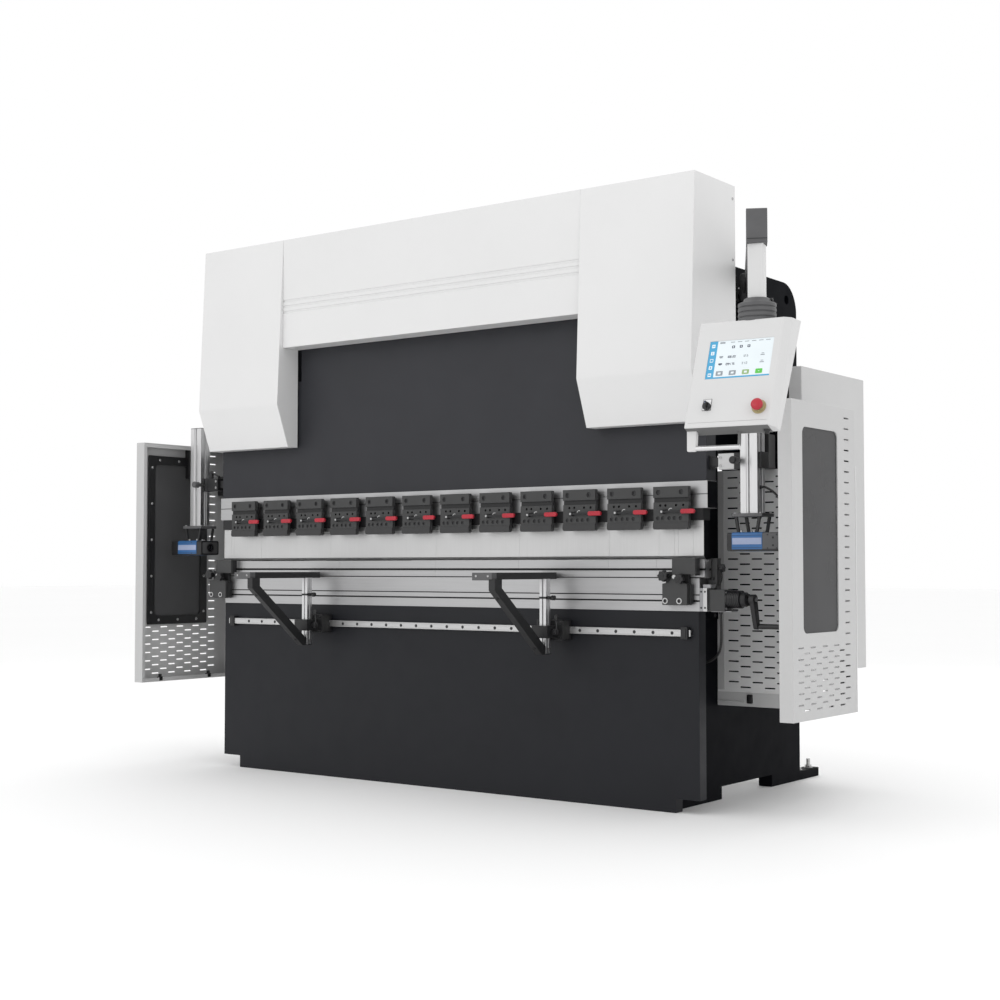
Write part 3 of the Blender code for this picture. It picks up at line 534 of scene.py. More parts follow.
def make_light():
    world = bpy.data.worlds.new("studio")
    world.use_nodes = True
    back = world.node_tree.nodes["Background"]
    back.inputs["Color"].default_value = (1.0, 1.0, 1.0, 1.0)
    back.inputs["Strength"].default_value = 1.0
    bpy.context.scene.world = world
    bpy.context.scene.view_settings.view_transform = "Standard"
    softbox("key", (-2.5, -6.5, 5.0), (0.0, 0.0, 1.2), (5.0, 3.5), 60.0)
    softbox("fill", (6.5, -3.5, 3.5), (0.5, 0.3, 1.1), (4.0, 4.0), 34.0)
    softbox("top", (0.0, 0.5, 6.5), (0.0, 0.2, 0.0), (6.0, 4.0), 45.0)
    softbox("rear", (-2.0, 7.0, 4.0), (0.0, 0.5, 1.0), (5.0, 3.0), 40.0)


def make_floor():
    mat, tree, shader, coords = node_material("floor_paint")
    cloud = noise(tree, coords, 0.4, 3.0)
    tree.links.new(blend_colours(tree, cloud, (0.965, 0.965, 0.965), (0.975, 0.975, 0.975)),
                   shader.inputs["Base Color"])
    shader.inputs["Roughness"].default_value = 0.75
    mesh = bpy.data.meshes.new("floor")
    reach = 60.0
    mesh.from_pydata([(-reach, -reach, -0.0005), (reach, -reach, -0.0005), (reach, reach, -0.0005),
                      (-reach, reach, -0.0005)], [], [(0, 1, 2, 3)])
    mesh.materials.append(mat)
    item = bpy.data.objects.new("floor", mesh)
    bpy.context.scene.collection.objects.link(item)


# ---------------------------------------------------------------- free leads
LIGHT_LEAD = [(1.4528, 0.004, 1.170), (1.468, 0.004, 1.170), (1.502, 0.004, 1.150), (1.532, 0.004, 1.112),
              (1.556, 0.004, 1.060), (1.568, 0.004, 1.005), (1.564, 0.004, 0.972), (1.555, 0.004, 0.9625),
              (1.5458, 0.004, 0.9625)]
CRANK_LEAD = [(1.284, 0.012, 0.7274), (1.284, 0.012, 0.704), (1.280, 0.022, 0.655), (1.266, 0.045, 0.612),
              (1.238, 0.078, 0.575), (1.195, 0.105, 0.548), (1.145, 0.120, 0.534), (1.0856, 0.124, 0.530)]
LEAD_POINTS = 28


def make_lead(name, node, route, radius, body):
    """A free lead along the same smooth curve as its CAD solid."""
    path = smooth_path(route, LEAD_POINTS)
    curve = bpy.data.curves.new(name, "CURVE")
    curve.dimensions = "3D"
    curve.bevel_depth = radius
    curve.bevel_resolution = 5
    curve.use_fill_caps = True
    spline = curve.splines.new("POLY")
    spline.points.add(len(path) - 1)
    for target, point in zip(spline.points, path):
        target.co = (*point, 1.0)
    curve.materials.append(RUBBER)
    item = bpy.data.objects.new(name, curve)
    bpy.context.scene.collection.objects.link(item)
    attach(item, body)
    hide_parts(node)


make_camera()
make_light()
make_floor()
make_lead("light_cable", "light_lead", LIGHT_LEAD, 0.004, "light_guard_right")
make_lead("crank_cable", "crank_lead", CRANK_LEAD, 0.0045, "machine")

# ---------------------------------------------------------------- sizes that the sections share
GAP = 0.0003
FRAME_IN, FRAME_OUT = 1.025, 1.085       # C-frame plates
SIDE_PLATE = 0.006                       # plate over the throat's mouth
FRAME_REAR, FRAME_TOP = 1.060, 2.078
ARM_X, ARM_Y = 1.150, 0.530              # pivot of the pendant arm


def spans(node):
    """The X, Y and Z spans of a CAD node at rest."""
    low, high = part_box(node)
    return tuple(zip(low, high))


def screws(piece, mat, head, places, direction, turn=0.3):
    """Copies of a screw head at several places; head is (function, radius, height)."""
    make, radius, height = head
    for i, point in enumerate(places):
        piece.add(make(radius, height), mat, aim(point, direction, turn + i * 1.1))


# ---------------------------------------------------------------- C-frames, bed and table
def c_frame(side):
    table_low = spans("crowning_table")[2][0] - GAP
    corner, deep, radius = 0.120, 0.425, 0.080
    points = [(0.0253, 0.0), (0.380, 0.0), (0.380, 0.048), (0.801, 0.048), (0.801, 0.0), (1.240, 0.0),
              (1.240, 0.036), (FRAME_REAR, 0.036)]
    points += arc((FRAME_REAR - corner, FRAME_TOP - corner), corner, 0, 90, 16)
    points += [(0.130, FRAME_TOP), (0.130, 1.690), (0.058, 1.690), (0.058, 1.340)]
    points += arc((deep, 1.340 - radius), radius, 90, 0, 12)
    points += arc((deep, table_low + radius), radius, 0, -90, 12)
    points += [(0.0253, table_low)]
    low, high = sides(FRAME_IN, FRAME_OUT)[side]
    holes = [bar((0.967, 2.007), 0.019, "X", low - 0.01, high + 0.01),
             bar((0.547, 1.963), 0.011, "X", low - 0.01, high + 0.01)]
    piece = Piece(f"c_frame_plate_{word(side)}")
    piece.add(soften(carved(prism(points, "X", low, high), holes), 0.0018), BASE_BLACK)
    face = side * FRAME_OUT
    cover = sides(FRAME_OUT - 0.002, FRAME_OUT + SIDE_PLATE)[side]
    piece.add(block(cover, (0.060, 0.3497), (0.690, 1.380), 0.0012), BASE_BLACK)
    heads = [(face + side * (SIDE_PLATE - 0.0003), y, z) for y in (0.085, 0.322) for z in (0.705, 1.362)]
    screws(piece, BLACK_OXIDE, (pan_screw, 0.008, 0.003), heads, (side, 0, 0))
    for y in (1.100, 1.200):
        anchor = (side * (FRAME_IN + FRAME_OUT) / 2, y)
        piece.add(hex_head(0.015, 0.013), BRIGHT, aim((*anchor, 0.0355), (0, 0, 1), y * 9))
        piece.add(bar(anchor, 0.0085, "Z", 0.030, 0.074, 24), BRIGHT)
    weld = [(1.058, 0.042), (1.066, 0.036), (1.058, 0.030)]
    piece.add(prism(weld, "X", low + 0.004, high - 0.004), BASE_BLACK)
    if side > 0:
        boss = [(FRAME_OUT - 0.005, ARM_Y - 0.045), (ARM_X, ARM_Y - 0.045)]
        boss += arc((ARM_X, ARM_Y), 0.045, -90, 90, 20)[1:-1]
        boss += [(ARM_X, ARM_Y + 0.045), (FRAME_OUT - 0.005, ARM_Y + 0.045)]
        piece.add(prism(boss, "Z", 1.850, 1.930, 0.0025, 3), BASE_BLACK)
        piece.add(bar((ARM_X, ARM_Y), 0.028, "Z", 1.920, 2.034, 36), BRIGHT)
    low, high = sides(1.005, 1.030)[side]
    piece.add(block((low, high), (0.120, 0.820), (0.690, 0.715), 0.001), GROUND_X)
    screws(piece, BLACK_OXIDE, (socket_screw, 0.006, 0.0035),
           [(side * 1.0052, y, 0.7025) for y in (0.16, 0.32, 0.62, 0.78)], (-side, 0, 0))
    piece.done("machine", (f"c_frame_{word(side)}",))


def bed():
    (left, right), (front, back), (low, high) = spans("bed_plate")
    notch, up = 1.116, 0.051
    points = [(-notch, low), (notch, low), (notch, up), (right, up), (right, high), (left, high),
              (left, up), (-notch, up)]
    piece = Piece("bed_beam")
    piece.add(prism(points, "Y", front, back, 0.0016), BED_BLACK)
    for side in (-1, 1):
        seat = sides(FRAME_OUT - 0.02, FRAME_OUT + 0.0035)[side]
        piece.add(block(seat, (back - 0.001, back + 0.004), (0.10, high - 0.02), 0.0012), BED_BLACK)
    piece.done("machine", ("bed_plate",))


def table():
    (left, right), (front, back), (low, high) = spans("crowning_table")
    piece = Piece("crowning_table_body")
    points = [(front, low), (back, low), (back, high), (front, high), (front, 0.790),
              (front + 0.003, 0.790),
              (front + 0.003, 0.786), (front, 0.786), (front, 0.769), (front + 0.010, 0.769),
              (front + 0.010, 0.763), (front, 0.763)]
    piece.add(prism(points, "X", left, right, 0.0006), GROUND_X)
    # Near-black strips at the bottom of both grooves: painted shade.
    for y, z in ((front + 0.0022, (0.7862, 0.7898)), (front + 0.0085, (0.7632, 0.7688))):
        piece.add(block((left + 0.0005, right - 0.0005), (y, y + 0.002), z), DARK_AND_RECESS_SHADE)
    piece.done("machine", ("crowning_table",))


def segments(piece, profile, joints, mat, bevel):
    """A tool set: the same profile cut into lengths that stand end to end."""
    for low, high in zip(joints, joints[1:]):
        piece.add(prism(profile, "X", low + 0.00015, high - 0.00015, bevel, 1), mat)


def die():
    (left, right), (front, _), (low, high) = spans("lower_die")
    waist = 0.012
    half = [(-0.020, low), (-0.020, 0.852), (front, 0.852), (front, 0.876), (-waist, 0.876),
            (-waist, 0.884), (front, 0.884), (front, high), (-0.008, high)]
    profile = half + [(0.0, high - 0.012)] + [(-y, z) for y, z in reversed(half)]
    piece = Piece("lower_die_set")
    # Near-black strips in the waist notch and under the shoulder: painted shade.
    piece.add(block((left + 0.001, right - 0.001), (-waist - 0.0006, waist + 0.0006), (0.8755, 0.8845)),
              DARK_AND_RECESS_SHADE)
    piece.add(block((left + 0.001, right - 0.001), (front + 0.0006, -front - 0.0006), (0.8482, 0.8522)),
              DARK_AND_RECESS_SHADE)
    joints = [left, left + 0.100, left + 0.300, left + 0.715, 0.0, 0.415, 0.830, 1.039, 1.139, right]
    segments(piece, profile, joints, GROUND_X, 0.0005)
    piece.done("machine", ("lower_die",))


def guide_rail():
    (left, right), (front, back), (low, high) = spans("guide_rail")
    side = [(back, low), (front + 0.002, low), (front, low + 0.002), (front, high - 0.002),
            (front + 0.002, high), (back, high)]
    piece = Piece("guide_rail_bar")
    piece.add(prism(side, "X", left + 0.012, right - 0.012, 0.0004, 1), GROUND_PALE)
    for z in (low + 0.0062, high - 0.0062):
        piece.add(block((left + 0.012, right - 0.012), (front - 0.00015, front + 0.0005),
                        (z - 0.0003, z + 0.0003)), BLUE_STEEL)
    x = left + 0.124
    while x < right - 0.06:
        place_at = (x, front - 0.0002, (low + high) / 2)
        # A near-black disc round each screw head: painted shade of its counterbore.
        piece.add(bar((0.0, 0.0), 0.0062, "Z", -0.003, 0.0004, 24, 0.0002), DARK_AND_RECESS_SHADE,
                  aim(place_at, (0, -1, 0)))
        piece.add(socket_screw(0.0046, 0.0012), BLACK_OXIDE, aim(place_at, (0, -1, 0), x * 7))
        x += 0.080
    for low_x, high_x in ((left + 0.006, left + 0.034), (right - 0.034, right - 0.006)):
        piece.add(block((low_x, high_x), (front - 0.004, back), (low - 0.009, high + 0.009), 0.0020),
                  BLACK_COAT)
        piece.add(block((low_x + 0.006, high_x - 0.006), (front - 0.006, front - 0.003),
                        (low - 0.004, high + 0.004), 0.0015), BLACK_PLASTIC)
    for low_x, high_x in ((left - 0.004, left + 0.003), (right - 0.003, right + 0.004)):
        piece.add(block((low_x, high_x), (front + 0.002, back), (low + 0.001, high - 0.001), 0.0012),
                  BRIGHT)
    piece.done("machine", ("guide_rail",))


for hand in (-1, 1):
    c_frame(hand)
bed()
table()
die()
guide_rail()

# ---------------------------------------------------------------- white casings
HOUSING_IN, HOUSING_OUT = 0.773, 1.260
CASING_FRONT, CASING_WALL = -0.120, 0.006


def housing(side):
    """Sheet casing over one cylinder: open at the back and, behind the ram's front, underneath."""
    _, (_, back), (low, top) = spans(f"housing_{word(side)}")
    wall = CASING_WALL
    knee, chin, knee_z = CASING_FRONT - 0.033, CASING_FRONT + 0.035, 1.589
    outer = [(CASING_FRONT, top), (knee, knee_z), (chin, low), (back, low), (back, top)]
    inner = [(CASING_FRONT + wall, top - wall), (knee + wall, knee_z + 0.001),
             (chin + wall * 0.75, low + wall), (back + 0.05, low + wall), (back + 0.05, top - wall)]
    behind = -0.025
    cutters = [prism(inner, "X", *sides(HOUSING_IN + wall, HOUSING_OUT - wall)[side]),
               block(sides(HOUSING_IN - 0.01, HOUSING_IN + wall + 0.001)[side], (behind, back + 0.05),
                     (low - 0.01, top - wall)),
               block(sides(HOUSING_IN - 0.01, HOUSING_OUT - wall)[side], (behind, back + 0.05),
                     (low - 0.01, low + wall + 0.001))]
    shell = carved(prism(outer, "X", *sides(HOUSING_IN, HOUSING_OUT)[side]), cutters, crossing=True)
    piece = Piece(f"housing_shell_{word(side)}")
    piece.add(soften(shell, 0.0022, 3), WHITE)
    rim = side * HOUSING_OUT
    for z in (low + 0.05, low + 0.33, low + 0.62, top - 0.05):
        piece.add(pan_screw(0.006), BRIGHT, aim((rim, back - 0.020, z), (side, 0, 0), z * 5))
    flange = sides(HOUSING_OUT - 0.030, HOUSING_OUT - wall + 0.001)[side]
    piece.add(block(flange, (back - 0.006, back - 0.002), (low + 0.012, top - 0.012), 0.001), WHITE)
    piece.add(block(sides(HOUSING_IN + 0.004, HOUSING_OUT - 0.028)[side], (back - 0.006, back - 0.002),
                    (top - 0.034, top - wall + 0.001), 0.001), WHITE)
    piece.done("machine", (f"housing_{word(side)}",))


def fascia():
    (left, right), (front, back), (low, top) = spans("fascia")
    wall, grooves = CASING_WALL, (2.039, 2.015, 1.991)
    skin, lip = front + 0.008, -0.025
    points = [(front, low), (lip, low), (lip, low + wall), (skin, low + wall), (skin, top - wall),
              (back, top - wall), (back, top), (front, top)]
    for z in grooves:
        points += [(front, z + 0.006), (front + 0.0012, z + 0.0052), (front + 0.004, z + 0.0035),
                   (front + 0.004, z - 0.0035), (front + 0.0012, z - 0.0052), (front, z - 0.006)]
    piece = Piece("fascia_sheet")
    piece.add(prism(points, "X", left, right, 0.0010, 2), WHITE)
    for x in (-0.5, 0.0, 0.5):
        piece.add(block((x - 0.018, x + 0.018), (skin - 0.001, back - 0.02),
                        (top - 0.036, top - wall + 0.001), 0.0015), WHITE)
    piece.done("machine", ("fascia",))


for hand in (-1, 1):
    housing(hand)
fascia()

# ---------------------------------------------------------------- ram, tool holder and clamps
CLAMP_COUNT, CLAMP_PITCH, CLAMP_SHIFT = 12, 0.199, 0.0265
CLAMP_HALF, CLAMP_FRONT, CLAMP_BACK = 0.0735, -0.060, -0.0223
LEVER_PIVOT, LEVER_REACH, LEVER_HEIGHT = -0.029, 0.135, 1.089
HOLDER_LOW = 1.058
CLAMP_SPLIT, CLAMP_REAR = -0.043, 0.056    # back of the front plates, half width behind them
CLAMP_LOW, CLAMP_HIGH = 1.050, 1.181       # the front plates' lower and upper edge
NECK_LOW, NECK_HIGH = 1.124, 1.140         # the dark groove between them


def clamp_centre(index):
    return CLAMP_SHIFT + (index - (CLAMP_COUNT - 1) / 2) * CLAMP_PITCH


def ram():
    (left, right), (front, back), (low, top) = spans("ram")
    half, plate_front, shoulder, waist = 1.245, -0.017, 1.700, 0.760
    points = [(-half, low + 0.001), (half, low + 0.001), (half, shoulder), (waist, shoulder), (waist, top),
              (-waist, top), (-waist, shoulder), (-half, shoulder)]
    piece = Piece("ram_beam")
    piece.add(prism(points, "Y", plate_front, back, 0.0016), RAM_SLATE)
    gap_z, band_top = 1.152, 1.200
    piece.add(block((left, right), (front, back - 0.004), (low, gap_z - 0.0012), 0.0007), GROUND_X)
    piece.add(block((left, right), (front, back - 0.004), (gap_z + 0.0012, band_top), 0.0007), GROUND_X)
    # Near-black strip in the gap between the two ground bands: painted shade.
    piece.add(block((left + 0.002, right - 0.002), (front + 0.006, back - 0.006),
                    (gap_z - 0.003, gap_z + 0.003)), DARK_AND_RECESS_SHADE)
    ends = [(side * (half + 0.0055), y, z) for side in (-1, 1) for y in (-0.006, 0.030)
            for z in (1.125, 1.178)]
    for x, y, z in ends:
        piece.add(socket_screw(0.0055, 0.002), BLACK_OXIDE,
                  aim((x - math.copysign(0.0018, x), y, z), (x, 0, 0), z * 3))
    rear = [(x, back - 0.0006, z) for x in (-1.0, -0.5, 0.0, 0.5, 1.0) for z in (1.16, 1.24)]
    screws(piece, BLACK_OXIDE, (socket_screw, 0.010, 0.005), rear, (0, 1, 0))
    for side in (-1, 1):
        cap = sides(right - 0.0008, right + 0.0008)[side]
        piece.add(block(cap, (front + 0.001, back - 0.005), (low + 0.001, band_top - 0.001), 0.0004, 1),
                  BASE_BLACK)
    piece.done("ram_body", ("ram",))


def drilled(shape, places, radius, front, depth):
    """A clamp part less blind holes in its front."""
    return carved(shape, [bar(spot, radius, "Y", front - 0.01, front + depth, 20, 0.0) for spot in places])


def clamp_shapes():
    """One tool clamp about x = 0: (shape, material) pairs."""
    wide = CLAMP_HALF * 2
    at = [share * wide - CLAMP_HALF for share in (0.15, 0.80)]
    front = CLAMP_FRONT - 0.002
    upper = soften(block((-CLAMP_HALF, CLAMP_HALF), (front, CLAMP_SPLIT), (NECK_HIGH, CLAMP_HIGH)), 0.0016)
    upper = drilled(upper, [(x, 1.160) for x in at], 0.0092, front, 0.007)
    # The neck between the plates is near black: painted shade of the groove.
    neck = block((-CLAMP_HALF + 0.0005, CLAMP_HALF - 0.0005), (-0.054, CLAMP_SPLIT + 0.002),
                 (NECK_LOW - 0.004, NECK_HIGH + 0.004))
    pins = [(share * wide - CLAMP_HALF, 1.112) for share in (0.20, 0.35, 0.65, 0.85)]
    sockets = [(share * wide - CLAMP_HALF, 1.0655) for share in (0.13, 0.27, 0.45, 0.60, 0.77)]
    plate = soften(block((-CLAMP_HALF, CLAMP_HALF), (CLAMP_FRONT, CLAMP_SPLIT), (CLAMP_LOW, NECK_LOW)),
                   0.0014)
    cam = [(0.38 * wide - CLAMP_HALF + u, 1.092 + v) for u, v in slot_outline(0.0, 0.0, 0.021, 0.014)]
    cutters = [bar(spot, 0.0048, "Y", CLAMP_FRONT - 0.01, CLAMP_FRONT + 0.010, 20, 0.0) for spot in pins]
    cutters += [bar(spot, 0.0070, "Y", CLAMP_FRONT - 0.01, CLAMP_FRONT + 0.005, 20, 0.0)
                for spot in sockets]
    cutters.append(prism(cam, "Y", CLAMP_FRONT - 0.01, CLAMP_FRONT + 0.012))
    plate = carved(plate, cutters)
    corner, foot = 0.007, 1.032
    lip = [(-CLAMP_HALF, CLAMP_LOW + 0.001), (-CLAMP_HALF, foot)]
    lip += arc((-CLAMP_HALF + corner, foot), corner, 180, 270, 5)
    lip += arc((CLAMP_HALF - corner, foot), corner, 270, 360, 5) + [(CLAMP_HALF, CLAMP_LOW + 0.001)]
    lip = prism(lip, "Y", CLAMP_FRONT - 0.004, CLAMP_SPLIT, 0.0012)
    # The block behind the front plates is near black: painted shade between the clamps.
    rear = block((-CLAMP_REAR, CLAMP_REAR), (CLAMP_SPLIT - 0.001, CLAMP_BACK), (1.034, 1.178), 0.002)
    shapes = [(upper, CLAMP_GREY), (neck, DARK_AND_RECESS_SHADE), (plate, CLAMP_GREY), (lip, CLAMP_LIP),
              (rear, DARK_AND_RECESS_SHADE)]
    for x in at:
        shapes.append((place_shape(socket_screw(0.0084, 0.0045), (x, front + 0.0065, 1.160), x * 30),
                       BLACK_OXIDE))
    for x, z in sockets:
        shapes.append((place_shape(socket_screw(0.0062, 0.0035), (x, CLAMP_FRONT + 0.0048, z), x * 50),
                       BLACK_OXIDE))
    half_ring = arc((0.0, 1.092), 0.0105, 60, 170, 10) + arc((0.0, 1.092), 0.0080, 170, 60, 10)
    shapes.append((prism(half_ring, "Y", CLAMP_FRONT - 0.0006, CLAMP_FRONT + 0.001), BRIGHT))
    shapes.append((block((LEVER_PIVOT - 0.016, LEVER_PIVOT + 0.016), (CLAMP_FRONT + 0.001, CLAMP_SPLIT),
                         (1.080, 1.104)),
                   DARK_AND_RECESS_SHADE))
    return shapes


def place_shape(shape, point, turn):
    shape.transform(aim(point, (0, -1, 0), turn))
    return shape


def tool_clamps():
    (left, right), _, _ = spans("tool_clamps")
    piece = Piece("tool_clamp_row")
    piece.add(block((left, right), (-0.025, 0.030), (HOLDER_LOW, 1.101 - GAP), 0.0012), DARK_AND_RECESS_SHADE)
    shapes = clamp_shapes()
    for i in range(CLAMP_COUNT):
        shift = Matrix.Translation((clamp_centre(i), 0.0, 0.0))
        for shape, mat in shapes:
            piece.add(shape.copy(), mat, shift)
    for shape, _ in shapes:
        shape.free()
    rear = [(left + 0.05 + i * 0.1935, 0.0297, 1.080) for i in range(13)]
    screws(piece, BLUE_STEEL, (socket_screw, 0.007, 0.004), rear, (0, 1, 0))
    piece.done("ram_body", ("tool_clamps",))


def levers():
    grip = LEVER_REACH - 0.029
    for i in range(CLAMP_COUNT):
        piece = Piece(f"clamp_lever_grip_{i + 1:02d}")
        outline = rounded((grip - 0.028, LEVER_REACH), (-0.0085, 0.0085), 0.0075, 6)
        piece.add(prism(outline, "Y", -0.0188, -0.0067, 0.0024, 3), RED_PLASTIC)
        piece.add(prism(rounded((0.0, grip), (-0.0040, 0.0040), 0.0035, 4), "Y", -0.0160, -0.0098, 0.0008),
                  DARK_AND_RECESS_SHADE)
        piece.add(bar((0.0, 0.0), 0.0088, "Y", -0.0185, -0.0070, 28, 0.0014), BLACK_OXIDE)
        piece.add(bar((0.0, 0.0), 0.0072, "Y", -0.0075, -GAP, 24), BLACK_OXIDE)
        piece.add(socket_screw(0.0044, 0.0012), BRIGHT, aim((0.0, -0.0183, 0.0), (0, -1, 0), i * 0.9))
        for x in (0.088, 0.098, 0.108, 0.118):
            piece.add(block((x, x + 0.0018), (-0.0193, -0.0180), (-0.0062, 0.0062), 0.0005, 1), RED_PLASTIC)
        centre = Matrix.Translation((clamp_centre(i) + LEVER_PIVOT, CLAMP_FRONT, LEVER_HEIGHT))
        piece.done(f"clamp_lever_{i + 1:02d}", (f"clamp_lever_{i + 1:02d}",), centre)


def punch():
    (left, right), (front, back), (tip, top) = spans("punch")
    profile = [(front, top), (front, 1.0372), (front + 0.0008, 1.0368), (front + 0.0008, 1.0352),
               (front, 1.0348),
               (front, 0.929), (-0.002, tip - 0.004), (0.002, tip - 0.004), (back, 0.929), (back, top)]
    piece = Piece("punch_set")
    joints = [left, left + 0.045, left + 0.062, left + 0.235, left + 0.651, 0.0, 0.415, 0.830, 1.046, 1.110,
              1.127, 1.190, right]
    segments(piece, profile, joints, GROUND_PALE, 0.0004)
    for side in (-1, 1):
        piece.add(prism(profile, "X", *sides(right - 0.0002, right + 0.0005)[side]), BASE_BLACK)
    piece.done("ram_body", ("punch",))


# ---------------------------------------------------------------- cylinders
CYL_X, CYL_Y = 1.010, 0.018


def bolt_circle(centre, radius, z, count=8):
    """Places evenly spaced on a circle, the first half a step round."""
    return [(centre[0] + radius * math.cos(a), centre[1] + radius * math.sin(a), z)
            for a in (math.tau * (i + 0.5) / count for i in range(count))]


def cylinder(side):
    _, (_, plate_back), (low, high) = spans(f"cylinder_{word(side)}")
    centre = (side * CYL_X, CYL_Y)
    radius, bore = 0.100, 0.061
    piece = Piece(f"cylinder_body_{word(side)}")
    barrel = [(bore, low), (radius - 0.002, low), (radius, low + 0.002), (radius, low + 0.045),
              (radius - 0.008, low + 0.049),
              (radius - 0.008, high - 0.062), (radius, high - 0.058), (radius, high - 0.003),
              (radius - 0.003, high), (0.0, high)]
    inner = [(bore, low), (bore, 2.200), (0.0, 2.200)]
    piece.add(open_turned(barrel + inner[::-1], centre), BLACK_COAT)
    bolts = bolt_circle(centre, 0.084, high - 0.001)
    screws(piece, BLACK_OXIDE, (socket_screw, 0.009, 0.009), bolts, (0, 0, 1))
    under = [(x, y, low + 0.001) for x, y, _ in bolts]
    screws(piece, BLACK_OXIDE, (socket_screw, 0.007, 0.006), under, (0, 0, -1))
    plate = block((centre[0] - 0.110, centre[0] + 0.110), (0.100, plate_back), (1.900, 2.060), 0.002)
    piece.add(plate, BASE_BLACK)
    mounts = [(centre[0] + dx, 0.1005, z) for dx in (-0.092, 0.092) for z in (1.925, 1.980, 2.035)]
    screws(piece, BLACK_OXIDE, (hex_head, 0.010, 0.008), mounts, (0, -1, 0))
    piece.done("machine", (f"cylinder_{word(side)}",))


def open_turned(profile, centre, parts=48):
    """Turned solid whose profile starts and ends at different heights and closes on itself."""
    bm = bmesh.new()
    rings = []
    for radius, along in profile:
        if radius == 0.0:
            rings.append([bm.verts.new((*centre, along))])
            continue
        rings.append([bm.verts.new((centre[0] + radius * math.cos(math.tau * i / parts),
                                    centre[1] + radius * math.sin(math.tau * i / parts), along))
                      for i in range(parts)])
    for a, b in zip(rings, rings[1:]):
        for i in range(parts):
            j = (i + 1) % parts
            if len(a) == 1 and len(b) == 1:
                continue
            if len(b) == 1:
                bm.faces.new((a[i], a[j], b[0]))
            elif len(a) == 1:
                bm.faces.new((a[0], b[j], b[i]))
            else:
                bm.faces.new((a[i], a[j], b[j], b[i]))
    bmesh.ops.remove_doubles(bm, verts=bm.verts, dist=1e-6)
    bmesh.ops.recalc_face_normals(bm, faces=bm.faces)
    return bm


def piston_rod(side):
    _, _, (foot, top) = spans(f"piston_rod_{word(side)}")
    centre = (side * CYL_X, CYL_Y)
    piece = Piece(f"piston_rod_{word(side)}_body")
    piece.add(turned([(0.0595, foot), (0.060, foot + 0.001), (0.060, top - 0.003), (0.057, top)], "Z",
                     centre, 56), CHROME)
    piece.add(bar(centre, 0.080, "Z", foot, 1.725, 56, 0.0015), BLUE_STEEL)
    bolts = bolt_circle(centre, 0.070, 1.7245)
    screws(piece, BLACK_OXIDE, (socket_screw, 0.006, 0.006), bolts, (0, 0, 1))
    piece.done("ram_body", (f"piston_rod_{word(side)}",))


ram()
tool_clamps()
levers()
punch()
for hand in (-1, 1):
    cylinder(hand)
    piston_rod(hand)

# ---------------------------------------------------------------- side guards
GUARD_OUT, GUARD_DEPTH, SHEET = 1.640, 0.052, 0.004
WINDOW_LOW, WINDOW_TOP = 0.660, 1.372
SLOT_LONG, SLOT_HIGH = 0.046, 0.0058
SLOT_STEP, ROW_STEP = 0.0506, 0.0388


def slot_rows(first, columns, low, high, step=SLOT_STEP):
    """Centres of slots in columns, every other column half a row lower."""
    places = []
    for c in range(columns):
        v = low - (ROW_STEP / 2 if c % 2 else 0.0)
        while v < high:
            places.append((first + c * step, v))
            v += ROW_STEP
    return places


def slot_cutters(places, axis, low, high, length=SLOT_LONG):
    return [prism(slot_outline(u, v, length, SLOT_HIGH), axis, low, high) for u, v in places]


